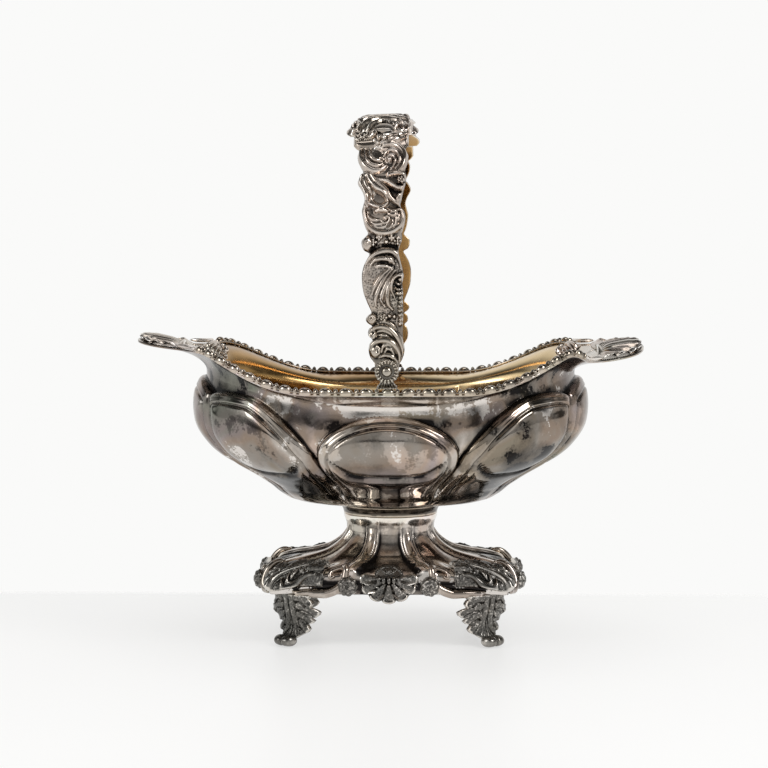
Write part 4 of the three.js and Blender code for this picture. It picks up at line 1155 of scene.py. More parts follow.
def moulding_lift(angle, fall):
    """Half-round between two fillets at each parting, and panels sunk a little between them."""
    plan = np.abs(pedestal_base(angle, fall)[..., :2])
    across = np.where(folded(angle) > 45, plan[..., 0], plan[..., 1])
    parting = curve_through(PARTINGS, fall)
    away = np.abs(across - parting)
    shows = smooth_step(0.02, 0.3, fall) * (1 - smooth_step(0.86, 0.93, fall))
    width = mix(2.3, 3.2, smooth_step(0.2, 0.8, fall))
    roll = MOULDING_HEIGHT * np.sqrt(np.clip(1 - (away / width) ** 2, 0, 1))
    fillet = FILLET_HEIGHT * hill(away - width - 0.5, 0.4)
    panel = PANEL_DEPTH * smooth_step(width + 0.9, width + 1.6, away)
    return (roll + fillet - panel) * shows


def pedestal_normal(angle, fall):
    along = pedestal_base(angle, np.minimum(fall + 0.02, 1)) - pedestal_base(angle, np.maximum(fall - 0.02, 0))
    around = pedestal_base(angle + 1, fall) - pedestal_base(angle - 1, fall)
    return unit(np.cross(along, around))


def pedestal_skin(angle, fall, lift):
    reach = moulding_lift(angle, fall) + lift
    return pedestal_base(angle, fall) + pedestal_normal(angle, fall) * np.asarray(reach)[..., None]


# %% Pedestal
PEDESTAL_COLUMNS, PEDESTAL_OUTSIDE, PEDESTAL_INSIDE = 480, 120, 50
PEDESTAL_FALLS = np.concatenate([np.linspace(0, 1, PEDESTAL_OUTSIDE), np.linspace(1, 0.25, PEDESTAL_INSIDE)])


def pedestal_place(i, j):
    inside = j >= PEDESTAL_OUTSIDE
    points = pedestal_skin(360 * i / PEDESTAL_COLUMNS, PEDESTAL_FALLS[j], np.where(inside, -BASE_SHEET, 0))
    points[:, 2] = np.where(inside, np.maximum(points[:, 2], FOOTING_Z), points[:, 2])
    return points


pedestal = ball_form("pedestal_skin", PEDESTAL_COLUMNS, len(PEDESTAL_FALLS), pedestal_place)
finish_piece(pedestal, "dish", "base_silver", [BASE_SILVER], "pedestal", rounds=40, depth=0.45)

# %% [markdown]
# The collar between bowl and pedestal is turned on a lathe, so it is a spun profile: a hollow that flares
# up to a fine step and a rounded lip. Spin leaves its last ring on its first, and those points are merged.

# %% Collar
COLLAR_TOP = BOWL_FLOOR_Z - FIT_GAP
COLLAR_STEPS = 160
COLLAR_PROFILE = [
    (STEM_TOP_RADIUS - COLLAR_WALL, 0), (STEM_TOP_RADIUS, 0), (24.5, 0.9), (24.75, 1.8), (25.2, 2.7), (25.7, 3.3),
    (25.9, 3.5), (25.8, 3.65), (26.3, 3.8), (26.6, 4.15), (26.5, 4.6), (26.1, COLLAR_HEIGHT),
    (STEM_TOP_RADIUS - COLLAR_WALL, COLLAR_HEIGHT),
]


def spin_profile(name, profile, steps):
    bpy.ops.object.select_all(action="DESELECT")
    bpy.ops.mesh.primitive_plane_add(size=MM)
    piece = bpy.context.object
    piece.name = name
    count = len(profile)
    piece.data.clear_geometry()
    points = [(radius * MM, 0, z * MM) for radius, z in profile]
    piece.data.from_pydata(points, [(k, (k + 1) % count) for k in range(count)], [])
    bpy.ops.object.mode_set(mode="EDIT")
    bpy.ops.mesh.select_all(action="SELECT")
    bpy.ops.mesh.spin(steps=steps, angle=2 * math.pi, center=(0, 0, 0), axis=(0, 0, 1))
    bpy.ops.mesh.select_all(action="SELECT")
    bpy.ops.mesh.remove_doubles(threshold=0.01 * MM)
    bpy.ops.mesh.normals_make_consistent(inside=False)
    bpy.ops.object.mode_set(mode="OBJECT")
    bpy.ops.object.shade_smooth_by_angle(angle=math.radians(40))
    return piece


raised_profile = [(radius, COLLAR_TOP - COLLAR_HEIGHT + z) for radius, z in COLLAR_PROFILE]
collar = spin_profile("turned_collar", raised_profile, COLLAR_STEPS)
finish_piece(collar, "dish", "bowl_silver", [EDGE_SILVER], "stem_collar", rounds=3, depth=0.25)

# %% [markdown]
# On the middle of each side of the base sits a cast scallop shell with matted lobes and polished rims, a
# row of small teeth above it, and a little fan over them. Two studded balls flank it. The four sides carry
# the same casting, made to the reach of each side and turned to its place.

# %% Base shells and balls
SHELL_WIDTH, SHELL_HEIGHT, SHELL_LOBES, SHELL_MIDDLE_Z = 31, 17.5, 7, 31.5
SHELL_SWEEP, SHELL_FULLNESS, SHELL_RIM = 104, 2.3, 0.55
SIDES = {"front": (0, BASE_DEPTH), "right": (90, BASE_LENGTH), "back": (180, BASE_DEPTH), "left": (270, BASE_LENGTH)}


def side_reach(z, reach):
    """How far the base stands out at a height, on the middle of a side."""
    places, heights = zip(*FALL)
    fall = np.interp(-np.asarray(z, float), [-height for height in heights], places)
    return mix(WAIST_RADIUS, reach, curve_through(SPREAD, fall))


def scallop(reach):
    def place(u, v):
        degrees = mix(-SHELL_SWEEP, SHELL_SWEEP, u)
        lobe = np.mod(u * SHELL_LOBES, 1) * 2 - 1
        edge = 0.86 + 0.13 * np.sqrt(np.clip(1 - lobe ** 2, 0, 1)) + 0.05 * np.cos(np.radians(degrees * 1.4))
        share = edge * mix(0.05, 1, v)
        x = SHELL_WIDTH / 2 * share * np.sin(np.radians(degrees))
        z = SHELL_MIDDLE_Z + SHELL_HEIGHT * (0.2 - 0.7 * share * np.cos(np.radians(degrees)))
        return x, z, lobe

    def upper(u, v):
        x, z, lobe = place(u, v)
        body = SHELL_FULLNESS * np.sqrt(np.clip(1 - 0.97 * lobe ** 2, 0, 1)) * smooth_step(0.0, 0.3, v)
        rim = SHELL_RIM * hill(v - 0.93, 0.045) * np.sqrt(np.clip(1 - lobe ** 2, 0, 1))
        drop = 0.9 * smooth_step(0.7, 0.9, np.abs(2 * u - 1)) * hill(v - 0.4, 0.25)
        return np.stack([x, -(reach + FIT_GAP + 0.8 + body + rim + drop), z], -1)

    def lower(u, v):
        x, z, _ = place(u, v)
        return np.stack([x, -(reach + FIT_GAP) * np.ones_like(x), z], -1)

    def matting(u, v):
        _, _, lobe = place(u, v)
        return smooth_step(0.15, 0.25, v) * (1 - smooth_step(0.86, 0.9, v)) * (np.abs(lobe) < 0.86)

    return plate_form("scallop", 150, 46, upper, lower, under=20, stipple=matting)


# %% Fans above the shells
FAN_HALF, FAN_LOW_Z, FAN_SIDE_HEIGHT, FAN_ARCH_HEIGHT = 7.2, 32.8, 4.4, 4.0
FAN_ROOT, FAN_RIB, FAN_RIB_ANGLES = np.array([0, 36.6]), (0.6, 4.6), (35, 63, 90, 117, 145)
TEETH, TOOTH_PITCH, TOOTH_Z = 5, 2.6, 34.2


def shell_crest(reach):
    """The teeth and the fan above the scallop, which lie on the shoulder of the base."""

    def flat(u, v):
        x = (2 * u - 1) * FAN_HALF
        arch = np.sqrt(np.clip(1 - (x / FAN_HALF) ** 2, 0, 1))
        return x, FAN_LOW_Z + v * (FAN_SIDE_HEIGHT + FAN_ARCH_HEIGHT * arch)

    def skin(u, v, rise):
        x, z = flat(u, v)
        return np.stack([x, -(side_reach(z, reach) + FIT_GAP + 0.5 + rise), z], -1)

    def work(u, v):
        x, z = flat(u, v)
        chasing = Chasing(x, z, np.full_like(x, 1.0))
        for k in range(TEETH):
            chasing.boss(TOOTH_PITCH * (k - (TEETH - 1) / 2), TOOTH_Z, 1.25, 2.1, 2.6, sharp=0.35)
        turns = np.radians(np.linspace(8, 172, 15))
        arch = np.stack([6.4 * np.cos(turns), 37.0 + 3.7 * np.sin(turns)], -1)
        chasing.ridge(arch, 0.8, 1.3, ends=(0.8, 0.8), smooth=False)
        for angle in np.radians(FAN_RIB_ANGLES):
            way = np.array([math.cos(angle), math.sin(angle)])
            chasing.ridge([FAN_ROOT + out * way for out in FAN_RIB], 0.6, 1.1, smooth=False)
        return chasing.height

    return plate_form("crest", 90, 50, lambda u, v: skin(u, v, work(u, v)), lambda u, v: skin(u, v, 0 * u), under=20)


# %% Studded balls, and the four sides
BALL_RADIUS, BALL_FROM_MIDDLE, BALL_Z, BALL_FLATNESS = 5.1, 20.8, 31.3, 0.7
BALL_AROUND, BALL_ROWS = 72, 40


def studded_ball(name, hand, reach):
    def place(i, j):
        around, up = 2 * math.pi * i / BALL_AROUND, math.pi * ((j + 1) / (BALL_ROWS + 1) - 0.5)
        studs = np.maximum(np.abs(np.sin(4.5 * around)), np.abs(np.sin(4.5 * up * 1.05 + 0.4))) ** 3
        radius = BALL_RADIUS * (1.02 - 0.09 * studs)
        x = hand * BALL_FROM_MIDDLE + radius * np.cos(up) * np.cos(around)
        z = BALL_Z + radius * np.cos(up) * np.sin(around)
        y = -(reach + BALL_FLATNESS * BALL_RADIUS) + BALL_FLATNESS * radius * np.sin(up)
        return np.stack([x, y, z], -1)

    return ball_form(name, BALL_AROUND, BALL_ROWS, place)


for side, (turn, reach) in SIDES.items():
    turned = Matrix.Rotation(math.radians(turn), 4, "Z")
    shell = join_pieces(f"scallop_shell_{side}", [scallop(reach), shell_crest(reach)])
    shell.data.transform(turned)
    finish_piece(shell, "dish", "dark_silver", [DARK_SILVER], f"base_shell_{side}", rounds=8, depth=0.4)
    for hand, letter in ((-1, "a"), (1, "b")):
        ball = studded_ball(f"studded_ball_{side}_{letter}", hand, reach)
        ball.data.transform(turned)
        set_attribute(ball.data, "stipple", np.ones(len(ball.data.vertices)))
        finish_piece(ball, "dish", "dark_silver", [DARK_SILVER], f"base_ball_{side}_{letter}", rounds=5, depth=0.3)

# %% [markdown]
# C-scrolls edge the base between the balls and the corners. Each is a bar that thickens to its middle and
# curls up onto the base at its end, so it is a round section carried along a route on the base's own
# skin. One quarter is modelled, and the other three are mirrored copies.

# %% Base scrolls
CORNERS = {"right_back": (1, 1), "left_back": (-1, 1), "left_front": (-1, -1), "right_front": (1, -1)}
BAR_AROUND = 18
SCROLL_FALLS = (0.985, 1.0, 1.0, 0.99, 0.968, 0.93, 0.85, 0.825, 0.87, 0.92, 0.915)
SCROLL_ANGLES = {
    "long": (58, 64, 71, 78, 82.6, 84.2, 83, 80, 77.6, 78.6, 80.6),
    "short": (36, 31, 26, 21, 17.6, 16, 17, 20, 22.4, 21.6, 19.8),
}


def bar_form(name, centres, radii, outward):
    """A round bar along points. outward gives one side of its section at each point."""
    along = unit(np.gradient(centres, axis=0))
    side = unit(outward - along * np.einsum("ij,ij->i", outward, along)[:, None])
    third = np.cross(along, side)

    def place(i, j):
        turn = (2 * math.pi * i / BAR_AROUND)[:, None]
        return centres[j] + radii[j][:, None] * (np.cos(turn) * side[j] + np.sin(turn) * third[j])

    return ball_form(name, BAR_AROUND, len(centres), place)


def base_scroll(name, stops):
    route = smooth_route(stops, 10)
    share = np.linspace(0, 1, len(route))
    radii = 1.1 + 1.2 * np.sin(math.pi * np.clip(share * 1.5, 0, 1)) ** 1.2 - 0.25 * smooth_step(0.7, 1, share)
    radii = radii * np.sqrt(np.clip(share / 0.04, 0.15, 1)) * np.sqrt(np.clip((1 - share) / 0.03, 0.3, 1))
    lift = mix(radii + 0.3, 0.9 * radii + 0.3, smooth_step(0.5, 0.8, share))
    angle, fall = route.T
    fall = np.minimum(fall, 0.999)
    centres = pedestal_skin(angle, fall, lift)
    centres[:, 2] = np.maximum(centres[:, 2], FOOTING_Z + 0.6)
    return bar_form(name, centres, radii, pedestal_normal(angle, fall))


def set_on_corners(model, name, node, slot, finish, rounds, depth):
    """Mirrors a model to the four corners, gives each copy its finish and takes the model away."""
    for corner, (x, y) in CORNERS.items():
        piece = copy_piece(model, f"{name}_{corner}", Matrix.Diagonal((x, y, 1, 1)))
        finish_piece(piece, "dish", slot, [finish], f"{node}_{corner}", rounds=rounds, depth=depth)
    bpy.data.objects.remove(model)


for kind, angles in SCROLL_ANGLES.items():
    scroll = base_scroll("scroll", list(zip(angles, SCROLL_FALLS)))
    set_on_corners(scroll, f"c_scroll_{kind}", f"base_scroll_{kind}", "base_silver", SCROLL_SILVER, 2, 0.4)

# %% [markdown]
# A cast acanthus leaf saddles each corner of the base. It is chased on a strip that lies on the corner:
# one measure runs round the base and the other down it. The lobes are matted between polished veins, two
# small scrolls curl in its lower edge, and a larger volute turns over the corner itself.

# %% Corner leaves
LEAF_LEFT, LEAF_RIGHT, LEAF_TOP, LEAF_BOTTOM = -27.0, 31.0, 0.6, 0.965
CORNER_MM_PER_DEGREE, CORNER_DOWN, CORNER_SEAT = 1.1, 19.0, 0.5
CORNER_LOBES = [
    (-25, 13.5), (-19, 7.6), (-11, 3.8), (-4, 1.6), (4, 1.6), (11, 2.8), (19, 4.6), (26, 8.6), (31, 12.5),
]
CORNER_SPIRALS = [
    (-8.0, 13.2, 4.4, 100, 1.9, 3.2, -1), (11.0, 13.6, 3.6, 80, 1.6, 2.8, 1),
    (19.5, 11.8, 3.4, 60, 1.5, 2.8, 1), (-18.0, 13.6, 3.2, 110, 1.5, 2.6, -1),
]


def corner_flat(u, v):
    x = mix(LEAF_LEFT, LEAF_RIGHT, u) * CORNER_MM_PER_DEGREE
    crest = 0.8 * np.abs(x / 33) ** 1.6 + 0.035 * np.cos(x * 0.95)
    y = mix(np.clip(crest, 0, 0.9), 1, v) * CORNER_DOWN
    return x, y


def corner_work(x, y):
    """Two domes, nine fluted lobes that spread from the corner, a midrib, and scrolls along the lower edge."""
    work = Chasing(x, y, np.full_like(x, 0.9))
    work.boss(18, 7.5, 11, 6.5, 1.5, sharp=0.9)
    work.boss(-17, 8.5, 9, 6.5, 1.3, sharp=0.9)
    work.matting[:] = 1
    for tip_x, tip_y in CORNER_LOBES:
        root_x, root_y = 0.12 * tip_x, 12.5
        middle = (mix(root_x, tip_x, 0.55), mix(root_y, tip_y, 0.42) - 0.4)
        work.ridge([(root_x, root_y), middle, (tip_x, tip_y)], 2.3, 2.3, ends=(0.5, 0.6), polish=0.1)
        work.groove([(1.4 * root_x, root_y), (middle[0], middle[1] + 2.2), (tip_x, tip_y + 2.6)], 0.7, 0.9)
    work.ridge([(0, 3), (-0.8, 8), (-1.4, 13), (-1.2, 18.4)], 3.4, 3.3, ends=(0.4, 0.9), sharp=0.6)
    for x, y, radius, start, width, height, hand in CORNER_SPIRALS:
        work.spiral(x, y, radius, 1.2, start, width, height, hand=hand)
    work.ridge([(4, 14.5), (8, 17.6), (15, 17.8), (22, 16.0), (28, 15.8)], 1.7, 2.4)
    work.ridge([(-12, 16.8), (-17, 17.8), (-24, 16.6)], 1.6, 2.3)
    return work


def corner_leaf():
    def skin(u, v, rise):
        x, y = corner_flat(u, v)
        fall = mix(LEAF_TOP, LEAF_BOTTOM, y / CORNER_DOWN)
        return pedestal_skin(45 + x / CORNER_MM_PER_DEGREE, fall, CORNER_SEAT + rise)

    def edge(u, v):
        ends = smooth_step(0, 0.03, u) * smooth_step(0, 0.03, 1 - u)
        return ends * smooth_step(0, 0.07, v) * smooth_step(0, 0.05, 1 - v)

    def upper(u, v):
        return skin(u, v, 0.15 + corner_work(*corner_flat(u, v)).height * edge(u, v))

    def matting(u, v):
        return corner_work(*corner_flat(u, v)).matting

    return plate_form("leaf", 190, 76, upper, lambda u, v: skin(u, v, 0 * u), under=40, stipple=matting)


set_on_corners(corner_leaf(), "corner_acanthus", "corner_leaf", "base_silver", DARK_SILVER, 10, 0.55)

# %% [markdown]
# Each foot is a cast acanthus leaf that hangs from the corner, with deep lobes, matted ground and a
# strong midrib, and it ends in a rolled toe that the dish stands on. Leaf, roll and the block that joins
# the foot to the base are shaped apart and joined into one piece.

# %% Feet
FOOT_MIDDLE, FOOT_TURN = (48.3, 35.0), 50
FOOT_LOW, FOOT_TOP = 3.4, FOOTING_Z - FIT_GAP
FOOT_LINE = [
    (0, 4.4), (2.6, 3.0), (5.2, 0.2), (8.6, -1.4), (12, -1.6), (17, -0.2), (21, 0.8), (24, 1.4), (26.2, 2.4),
]
FOOT_EDGE = [
    (3.4, 3.4), (5.4, 6.0), (7.0, 9.0), (8.6, 9.9), (10.0, 9.2), (10.9, 8.4), (11.4, 10.6), (12.8, 11.9),
    (14.2, 11.2),
    (14.7, 13.4), (16.2, 15.5), (18.0, 15.7), (19.4, 14.2), (20.0, 12.4), (21.6, 12.9), (23.4, 12.2), (24.2, 11.4),
    (26, 12.2), (28, 12.0), (30, 11.6),
]
FOOT_VEINS = [(8.2, 9.4, 13), (12.6, 11.2, 17), (17.4, 15.0, 21.5), (22.0, 12.2, 25.5)]
print("foot leaves from", FOOT_LOW, "to", round(FOOT_TOP, 1), "mm above the table")


def foot_half(z):
    heights, halves = zip(*FOOT_EDGE)
    return np.interp(z, heights, halves)


def foot_leaf():
    def flat(u, v):
        z = mix(FOOT_LOW, FOOT_TOP, v)
        return (2 * u - 1) * foot_half(z), z

    def work(u, v):
        x, z = flat(u, v)
        side = np.abs(2 * u - 1)
        chasing = Chasing(x, z, 0.4 + 1.1 * (1 - side ** 4))
        chasing.matting[:] = 1
        for hand in (-1, 1):
            for at, reach, start in FOOT_VEINS:
                middle = (hand * 0.55 * reach, mix(at, start, 0.5))
                tip = (hand * (reach - 0.6), at)
                chasing.ridge([(hand * 2.5, start), middle, tip], 2.5, 1.3, ends=(0.5, 0.8), polish=0.1)
                under = (hand * 0.62 * reach, mix(at, start, 0.2))
                chasing.groove([(hand * 3.4, start - 3.5), under, (hand * (reach - 1.2), at - 2.1)], 0.7, 0.9)
            stem = [(hand * 2.0, 28), (hand * 1.9, 17), (hand * 3.0, 9), (hand * 5.0, 5.0)]
            chasing.ridge(stem, 1.7, 1.5, ends=(0.8, 0.8), polish=0.1)
            chasing.groove([(hand * 3.9, 27), (hand * 3.7, 17), (hand * 5.6, 8)], 0.6, 0.8)
        chasing.groove([(0, 28), (0.1, 18), (-0.1, 10), (0, 4)], 0.5, 0.7)
        return chasing

    def skin(u, v, rise):
        x, z = flat(u, v)
        bell = 2.4 * smooth_step(0.55, 1.0, np.abs(2 * u - 1)) * smooth_step(6, 14, z)
        out = curve_through(FOOT_LINE, z) - 0.011 * x ** 2 + rise + bell * np.cos(z * 1.25) * 0.35
        return np.stack([out, x, z], -1)

    return plate_form(
        "foot_leaf", 150, 130, lambda u, v: skin(u, v, 1.4 + work(u, v).height),
        lambda u, v: skin(u, v, -1.2 * (1 - (2 * u - 1) ** 2)), under=40, stipple=lambda u, v: work(u, v).matting,
    )


# %% Toes, blocks and the four feet
TOE_RADIUS, TOE_HEIGHT, TOE_WIDTH, TOE_OUT = 3.2, 5.6, 12.5, 7
TOE_AROUND, TOE_ROWS, BLOCK_AROUND, BLOCK_ROWS = 48, 44, 40, 12
BLOCK_HALF_OUT, BLOCK_HALF_SIDE, BLOCK_OUT, BLOCK_LOW = 3.8, 9.0, -1.4, 16


def toe_roll():
    def place(i, j):
        turn, across = 2 * math.pi * i / TOE_AROUND, (j + 0.5) / TOE_ROWS * 2 - 1
        lobe = np.clip(np.abs(np.sin(math.pi * across)) * 1.6, 0, 1) ** 0.5
        radius = TOE_RADIUS * mix(0.7, 1.0, lobe) * np.clip(1 - np.abs(across) ** 5, 0.03, 1) ** 0.5
        x = TOE_OUT - 0.8 * across ** 2 + radius * 1.25 * np.cos(turn)
        z = TOE_HEIGHT / 2 + radius * TOE_HEIGHT / 2 / TOE_RADIUS * np.sin(turn)
        return np.stack([x, TOE_WIDTH / 2 * across, z], -1)

    return ball_form("toe", TOE_AROUND, TOE_ROWS, place)


def foot_block():
    def place(i, j):
        share = j / (BLOCK_ROWS - 1)
        turn = 2 * math.pi * i / BLOCK_AROUND
        spread = smooth_step(0.2, 0.9, share)
        half_out = BLOCK_HALF_OUT * signed_power(np.cos(turn), 0.6) * mix(0.55, 1, spread)
        half_side = BLOCK_HALF_SIDE * signed_power(np.sin(turn), 0.6) * mix(0.35, 1, spread)
        return np.stack([half_out + BLOCK_OUT, half_side, mix(BLOCK_LOW, FOOT_TOP, share)], -1)

    return ball_form("block", BLOCK_AROUND, BLOCK_ROWS, place)


foot = join_pieces("foot", [foot_leaf(), toe_roll(), foot_block()])
foot_place = Matrix.Translation((FOOT_MIDDLE[0] * MM, FOOT_MIDDLE[1] * MM, 0))
foot.data.transform(foot_place @ Matrix.Rotation(math.radians(FOOT_TURN), 4, "Z"))
set_on_corners(foot, "leaf_foot", "foot", "dark_silver", DARK_SILVER, 10, 0.5)

# %% [markdown]
# The handle is a cast and chased strap, bent into a flat-topped arch and gilt on its inner face. Its
# outline and its relief are drawn on the flat strap, across it and along it from the hinge, and the strap
# is then wrapped round the arch. The rear arm is the front one turned half round, as both came out of
# one mould.

# %% The arch that the strap follows
HINGE_Z, HINGE_REACH, STRAP_EYE = 142.5, 90.2, 2
ARCH_RISE, ARCH_SQUARE = 122.6, 3.6
CROWN_HALF_LENGTH = 60
HANDLE_LEAN = math.radians(-1.4)
arch_turn = np.linspace(0, math.pi, 3601)
ARCH_Y = -(HINGE_REACH - STRAP_EYE / 2) * signed_power(np.cos(arch_turn), 2 / ARCH_SQUARE)
ARCH_Z = ARCH_RISE * np.abs(np.sin(arch_turn)) ** (2 / ARCH_SQUARE)
ARCH_LENGTH = np.concatenate([[0], np.cumsum(np.hypot(np.diff(ARCH_Y), np.diff(ARCH_Z)))])
LENGTH_TO_CROWN = float(ARCH_LENGTH[np.argmax(-ARCH_Y < CROWN_HALF_LENGTH)])
print("arch", round(float(ARCH_LENGTH[-1])), "mm long, each arm", round(LENGTH_TO_CROWN), "mm")


def strap_point(x, length, rise):
    """A point on the strap from across, the length along the arch and the rise off it, measured from the hinge before
    the lean.
    """
    y, z = np.interp(length, ARCH_LENGTH, ARCH_Y), np.interp(length, ARCH_LENGTH, ARCH_Z)
    z = z + np.minimum(length, 0)
    ahead, behind = np.clip(length + 1.5, 1, None), np.clip(length - 1.5, 0, None)
    way_y = np.interp(ahead, ARCH_LENGTH, ARCH_Y) - np.interp(behind, ARCH_LENGTH, ARCH_Y)
    way_z = np.interp(ahead, ARCH_LENGTH, ARCH_Z) - np.interp(behind, ARCH_LENGTH, ARCH_Z)
    size = np.hypot(way_y, way_z)
    return np.stack([x, y - way_z / size * rise, z + way_y / size * rise], -1)


def leaned(points):
    x, y, z = points.T
    return np.stack([
        x * math.cos(HANDLE_LEAN) + z * math.sin(HANDLE_LEAN), y,
        HINGE_Z - x * math.sin(HANDLE_LEAN) + z * math.cos(HANDLE_LEAN),
    ], -1)


def half_turned(points):
    return points * np.array([-1, -1, 1])


# %% Outline of an arm: length above the hinge, and half width on the left and on the right
ARM_LEFT = [
    (-5.5, 1.2), (-4.5, 3.4), (-3, 4.7), (0, 5.6), (4, 5.9), (7, 7.8), (10.2, 8.5), (13.5, 7.9), (15.3, 6.6),
    (17, 8.2), (18.8, 8.6), (20.8, 7.9), (21.8, 6.6), (23.3, 8.6), (25.1, 9.5), (27, 8.4), (28.3, 6.8),
    (31, 7.7), (33.6, 8.8), (38.5, 10.4), (45.8, 10.9), (50.6, 9.9), (54, 8.2), (56.5, 7.1), (58, 9.5),
    (60.5, 10.6), (63, 10.4), (65, 8.4), (66.2, 7.5), (68.5, 8.5), (71.4, 9.4), (76.9, 10.2), (80, 9.5),
    (83.4, 8.9), (86.8, 9.9), (91.1, 12), (94.4, 11.1), (97, 9.4), (99.5, 10.4), (103, 11.7), (107, 12),
    (110, 11.2), (111.3, 12.6), (113.5, 14),
]
ARM_RIGHT = [
    (-5.5, 1.2), (-4.5, 3.4), (-3, 4.7), (0, 5.6), (3, 6), (6, 7.6), (10.2, 8.7), (15.3, 8.1), (21.7, 8.2),
    (28, 8.6), (34, 8.5), (38.5, 8.7), (42, 8.4), (46, 9.1), (50.6, 8.2), (54, 7.4), (57, 6.9), (59.9, 7.6),
    (62.8, 8.7), (65.9, 8.8), (71.4, 10.4), (76, 10.3), (79, 8.3), (82, 8.8), (86.8, 9.9), (91, 11.1),
    (94.4, 11.4), (97.4, 10.8), (101.6, 12), (106.2, 12.5), (110.4, 11.3), (113.5, 12.8),
]
ARM_START = -5.5
ARM_END = LENGTH_TO_CROWN - FIT_GAP


# %% Chasing from the hinge to the neck, in millimetres across the strap and above the hinge
STROKE_SPREAD, STROKE_SHARP = 1.2, 0.65


def strokes(work, width, height, *routes, ends=(0.5, 0.5)):
    for route in routes:
        work.ridge(route, STROKE_SPREAD * width, height, ends, sharp=STROKE_SHARP)


def flower(work, x, y, petals, reach, petal, height):
    for turn in range(petals):
        angle = 2 * math.pi * turn / petals
        work.boss(x + reach * math.cos(angle), y + reach * math.sin(angle), petal, petal, height)
    work.boss(x, y, 0.8 * petal, 0.8 * petal, height + 0.3)


def chase_lower_arm(work):
    """Two comma scrolls above the hinge, each with a bulb at its left end, and a knob."""
    work.matt(0, 25.2, 6.5, 3.6)
    strokes(work, 1.2, 1.6, [(-3.4, 7.0), (0, 7.8), (3, 6.8), (5, 4.6)])
    strokes(
        work, 1.0, 1.7, [(-2.4, 9.3), (-1.6, 12), (0.8, 13), (3.2, 11.8), (4.8, 8.8)],
        [(-0.8, 9.4), (0.6, 11), (2.4, 10.4), (3.6, 8.2)],
    )
    strokes(
        work, 1.6, 2.7,
        [(-7.4, 10.8), (-6.6, 13.2), (-4, 14.8), (-0.5, 15.1), (2.6, 14), (5, 11.3), (6.2, 8), (6.2, 5)],
        ends=(0.7, 0.4),
    )
    work.boss(-5.2, 9.9, 2.9, 3.3, 2.8)
    work.hole(-4.4, 10.6, 0.9, 1.2, 0.9)
    strokes(work, 0.8, 1.7, [(-4, 19.2), (-1, 19.5), (2, 18.1), (4.6, 15)], [(-3.4, 17.5), (-0.8, 17.5), (1.8, 16.4)])
    strokes(
        work, 1.5, 2.7,
        [(-6.8, 20), (-4.6, 21.2), (-1.4, 21.5), (1.8, 20.4), (4.6, 17.6), (6.6, 14.2), (7.8, 10), (7.6, 6)],
        ends=(0.7, 0.4),
    )
    work.boss(-6.2, 17.6, 2.4, 2.5, 2.7)
    work.spiral(-6.2, 17.6, 2.1, 0.9, 100, 0.7, 3.2, core=0.3)
    strokes(work, 0.9, 1.3, [(-4, 23.2), (0, 23.7), (3.5, 21.9), (6.4, 18)])
    work.boss(-6.7, 25.2, 2.5, 2.9, 2.7)
    work.spiral(-6.7, 25.2, 2.0, 0.8, 0, 0.6, 3.2, core=0.3)
    flower(work, -1.0, 25.8, 5, 1.3, 0.8, 1.7)

# %% Chasing of the oval and the neck


def chase_oval(work):
    """Long oval: a rim band, a bright crescent, a fluted leaf, a C-scroll and a string of beads."""
    work.boss(-1.2, 43.8, 10.2, 15.5, 0.9, sharp=0.7)
    work.matt(-1.2, 43.5, 9.8, 15.2)
    strokes(
        work, 1.3, 2.3, [(2.2, 48.8), (-0.8, 46.4), (-3.2, 43.4), (-5, 40.4), (-6.2, 37.2)],
        [(3.6, 48.6), (0.8, 45.6), (-1.6, 42), (-3.4, 38.4), (-4.6, 34.6), (-4.4, 31.4)],
        [(5, 48), (2.4, 44.6), (0.2, 40.6), (-1.4, 36.8), (-1.8, 33.4), (-0.2, 31)],
        [(6, 47.2), (3.2, 43.6), (1.6, 39.6), (1, 35.8), (1.6, 32), (3.4, 29.6)],
    )
    strokes(work, 0.55, 3.1, [(-2.6, 37), (-2.0, 34.2), (-0.9, 32.0)])
    strokes(work, 1.6, 2.0, [(-8.8, 52), (-5.6, 55.2), (-1.5, 57.2), (2.6, 57.6), (6, 55.8), (7.8, 52.4), (8, 49)])
    strokes(work, 0.9, 2.2, [(-4.4, 50.2), (-1.8, 50.5), (1, 50.2), (3.4, 49.2)])
    strokes(work, 1.3, 3.0, [(-6.6, 50.8), (-4.6, 53.1), (-1.6, 53.8), (1.4, 53.4), (4.2, 51.6)])
    strokes(work, 1.7, 3.4, [(1.2, 54.8), (3.0, 53.2), (4.6, 51.4)])
    strokes(
        work, 1.05, 3.3, [(4.6, 35.4), (3.3, 38.4), (3.1, 41.4), (4.3, 44.2), (6.4, 45.8), (8.4, 45.4), (8.6, 43.6)],
        ends=(0.4, 1.0),
    )
    work.boss(7.4, 43.6, 1.2, 1.2, 3.2)
    work.hole(6.0, 40.4, 1.7, 2.6, 1.0)
    strokes(work, 0.7, 1.9, [(5.4, 42.4), (6.6, 41.6), (7.6, 42)], [(5.0, 40.0), (6.4, 39.0), (8.0, 39.4)])
    work.boss(6.9, 37.2, 2.0, 1.2, 2.7)
    work.beads([(7.3, 35.1), (7.4, 33.1), (6.9, 31.1), (6.9, 29.0), (6.9, 26.8), (7.2, 24.7), (6.9, 22.8)], 1.2, 2.9)
    work.beads([(2.0, 26.6), (4.2, 26.2)], 1.1, 2.4)


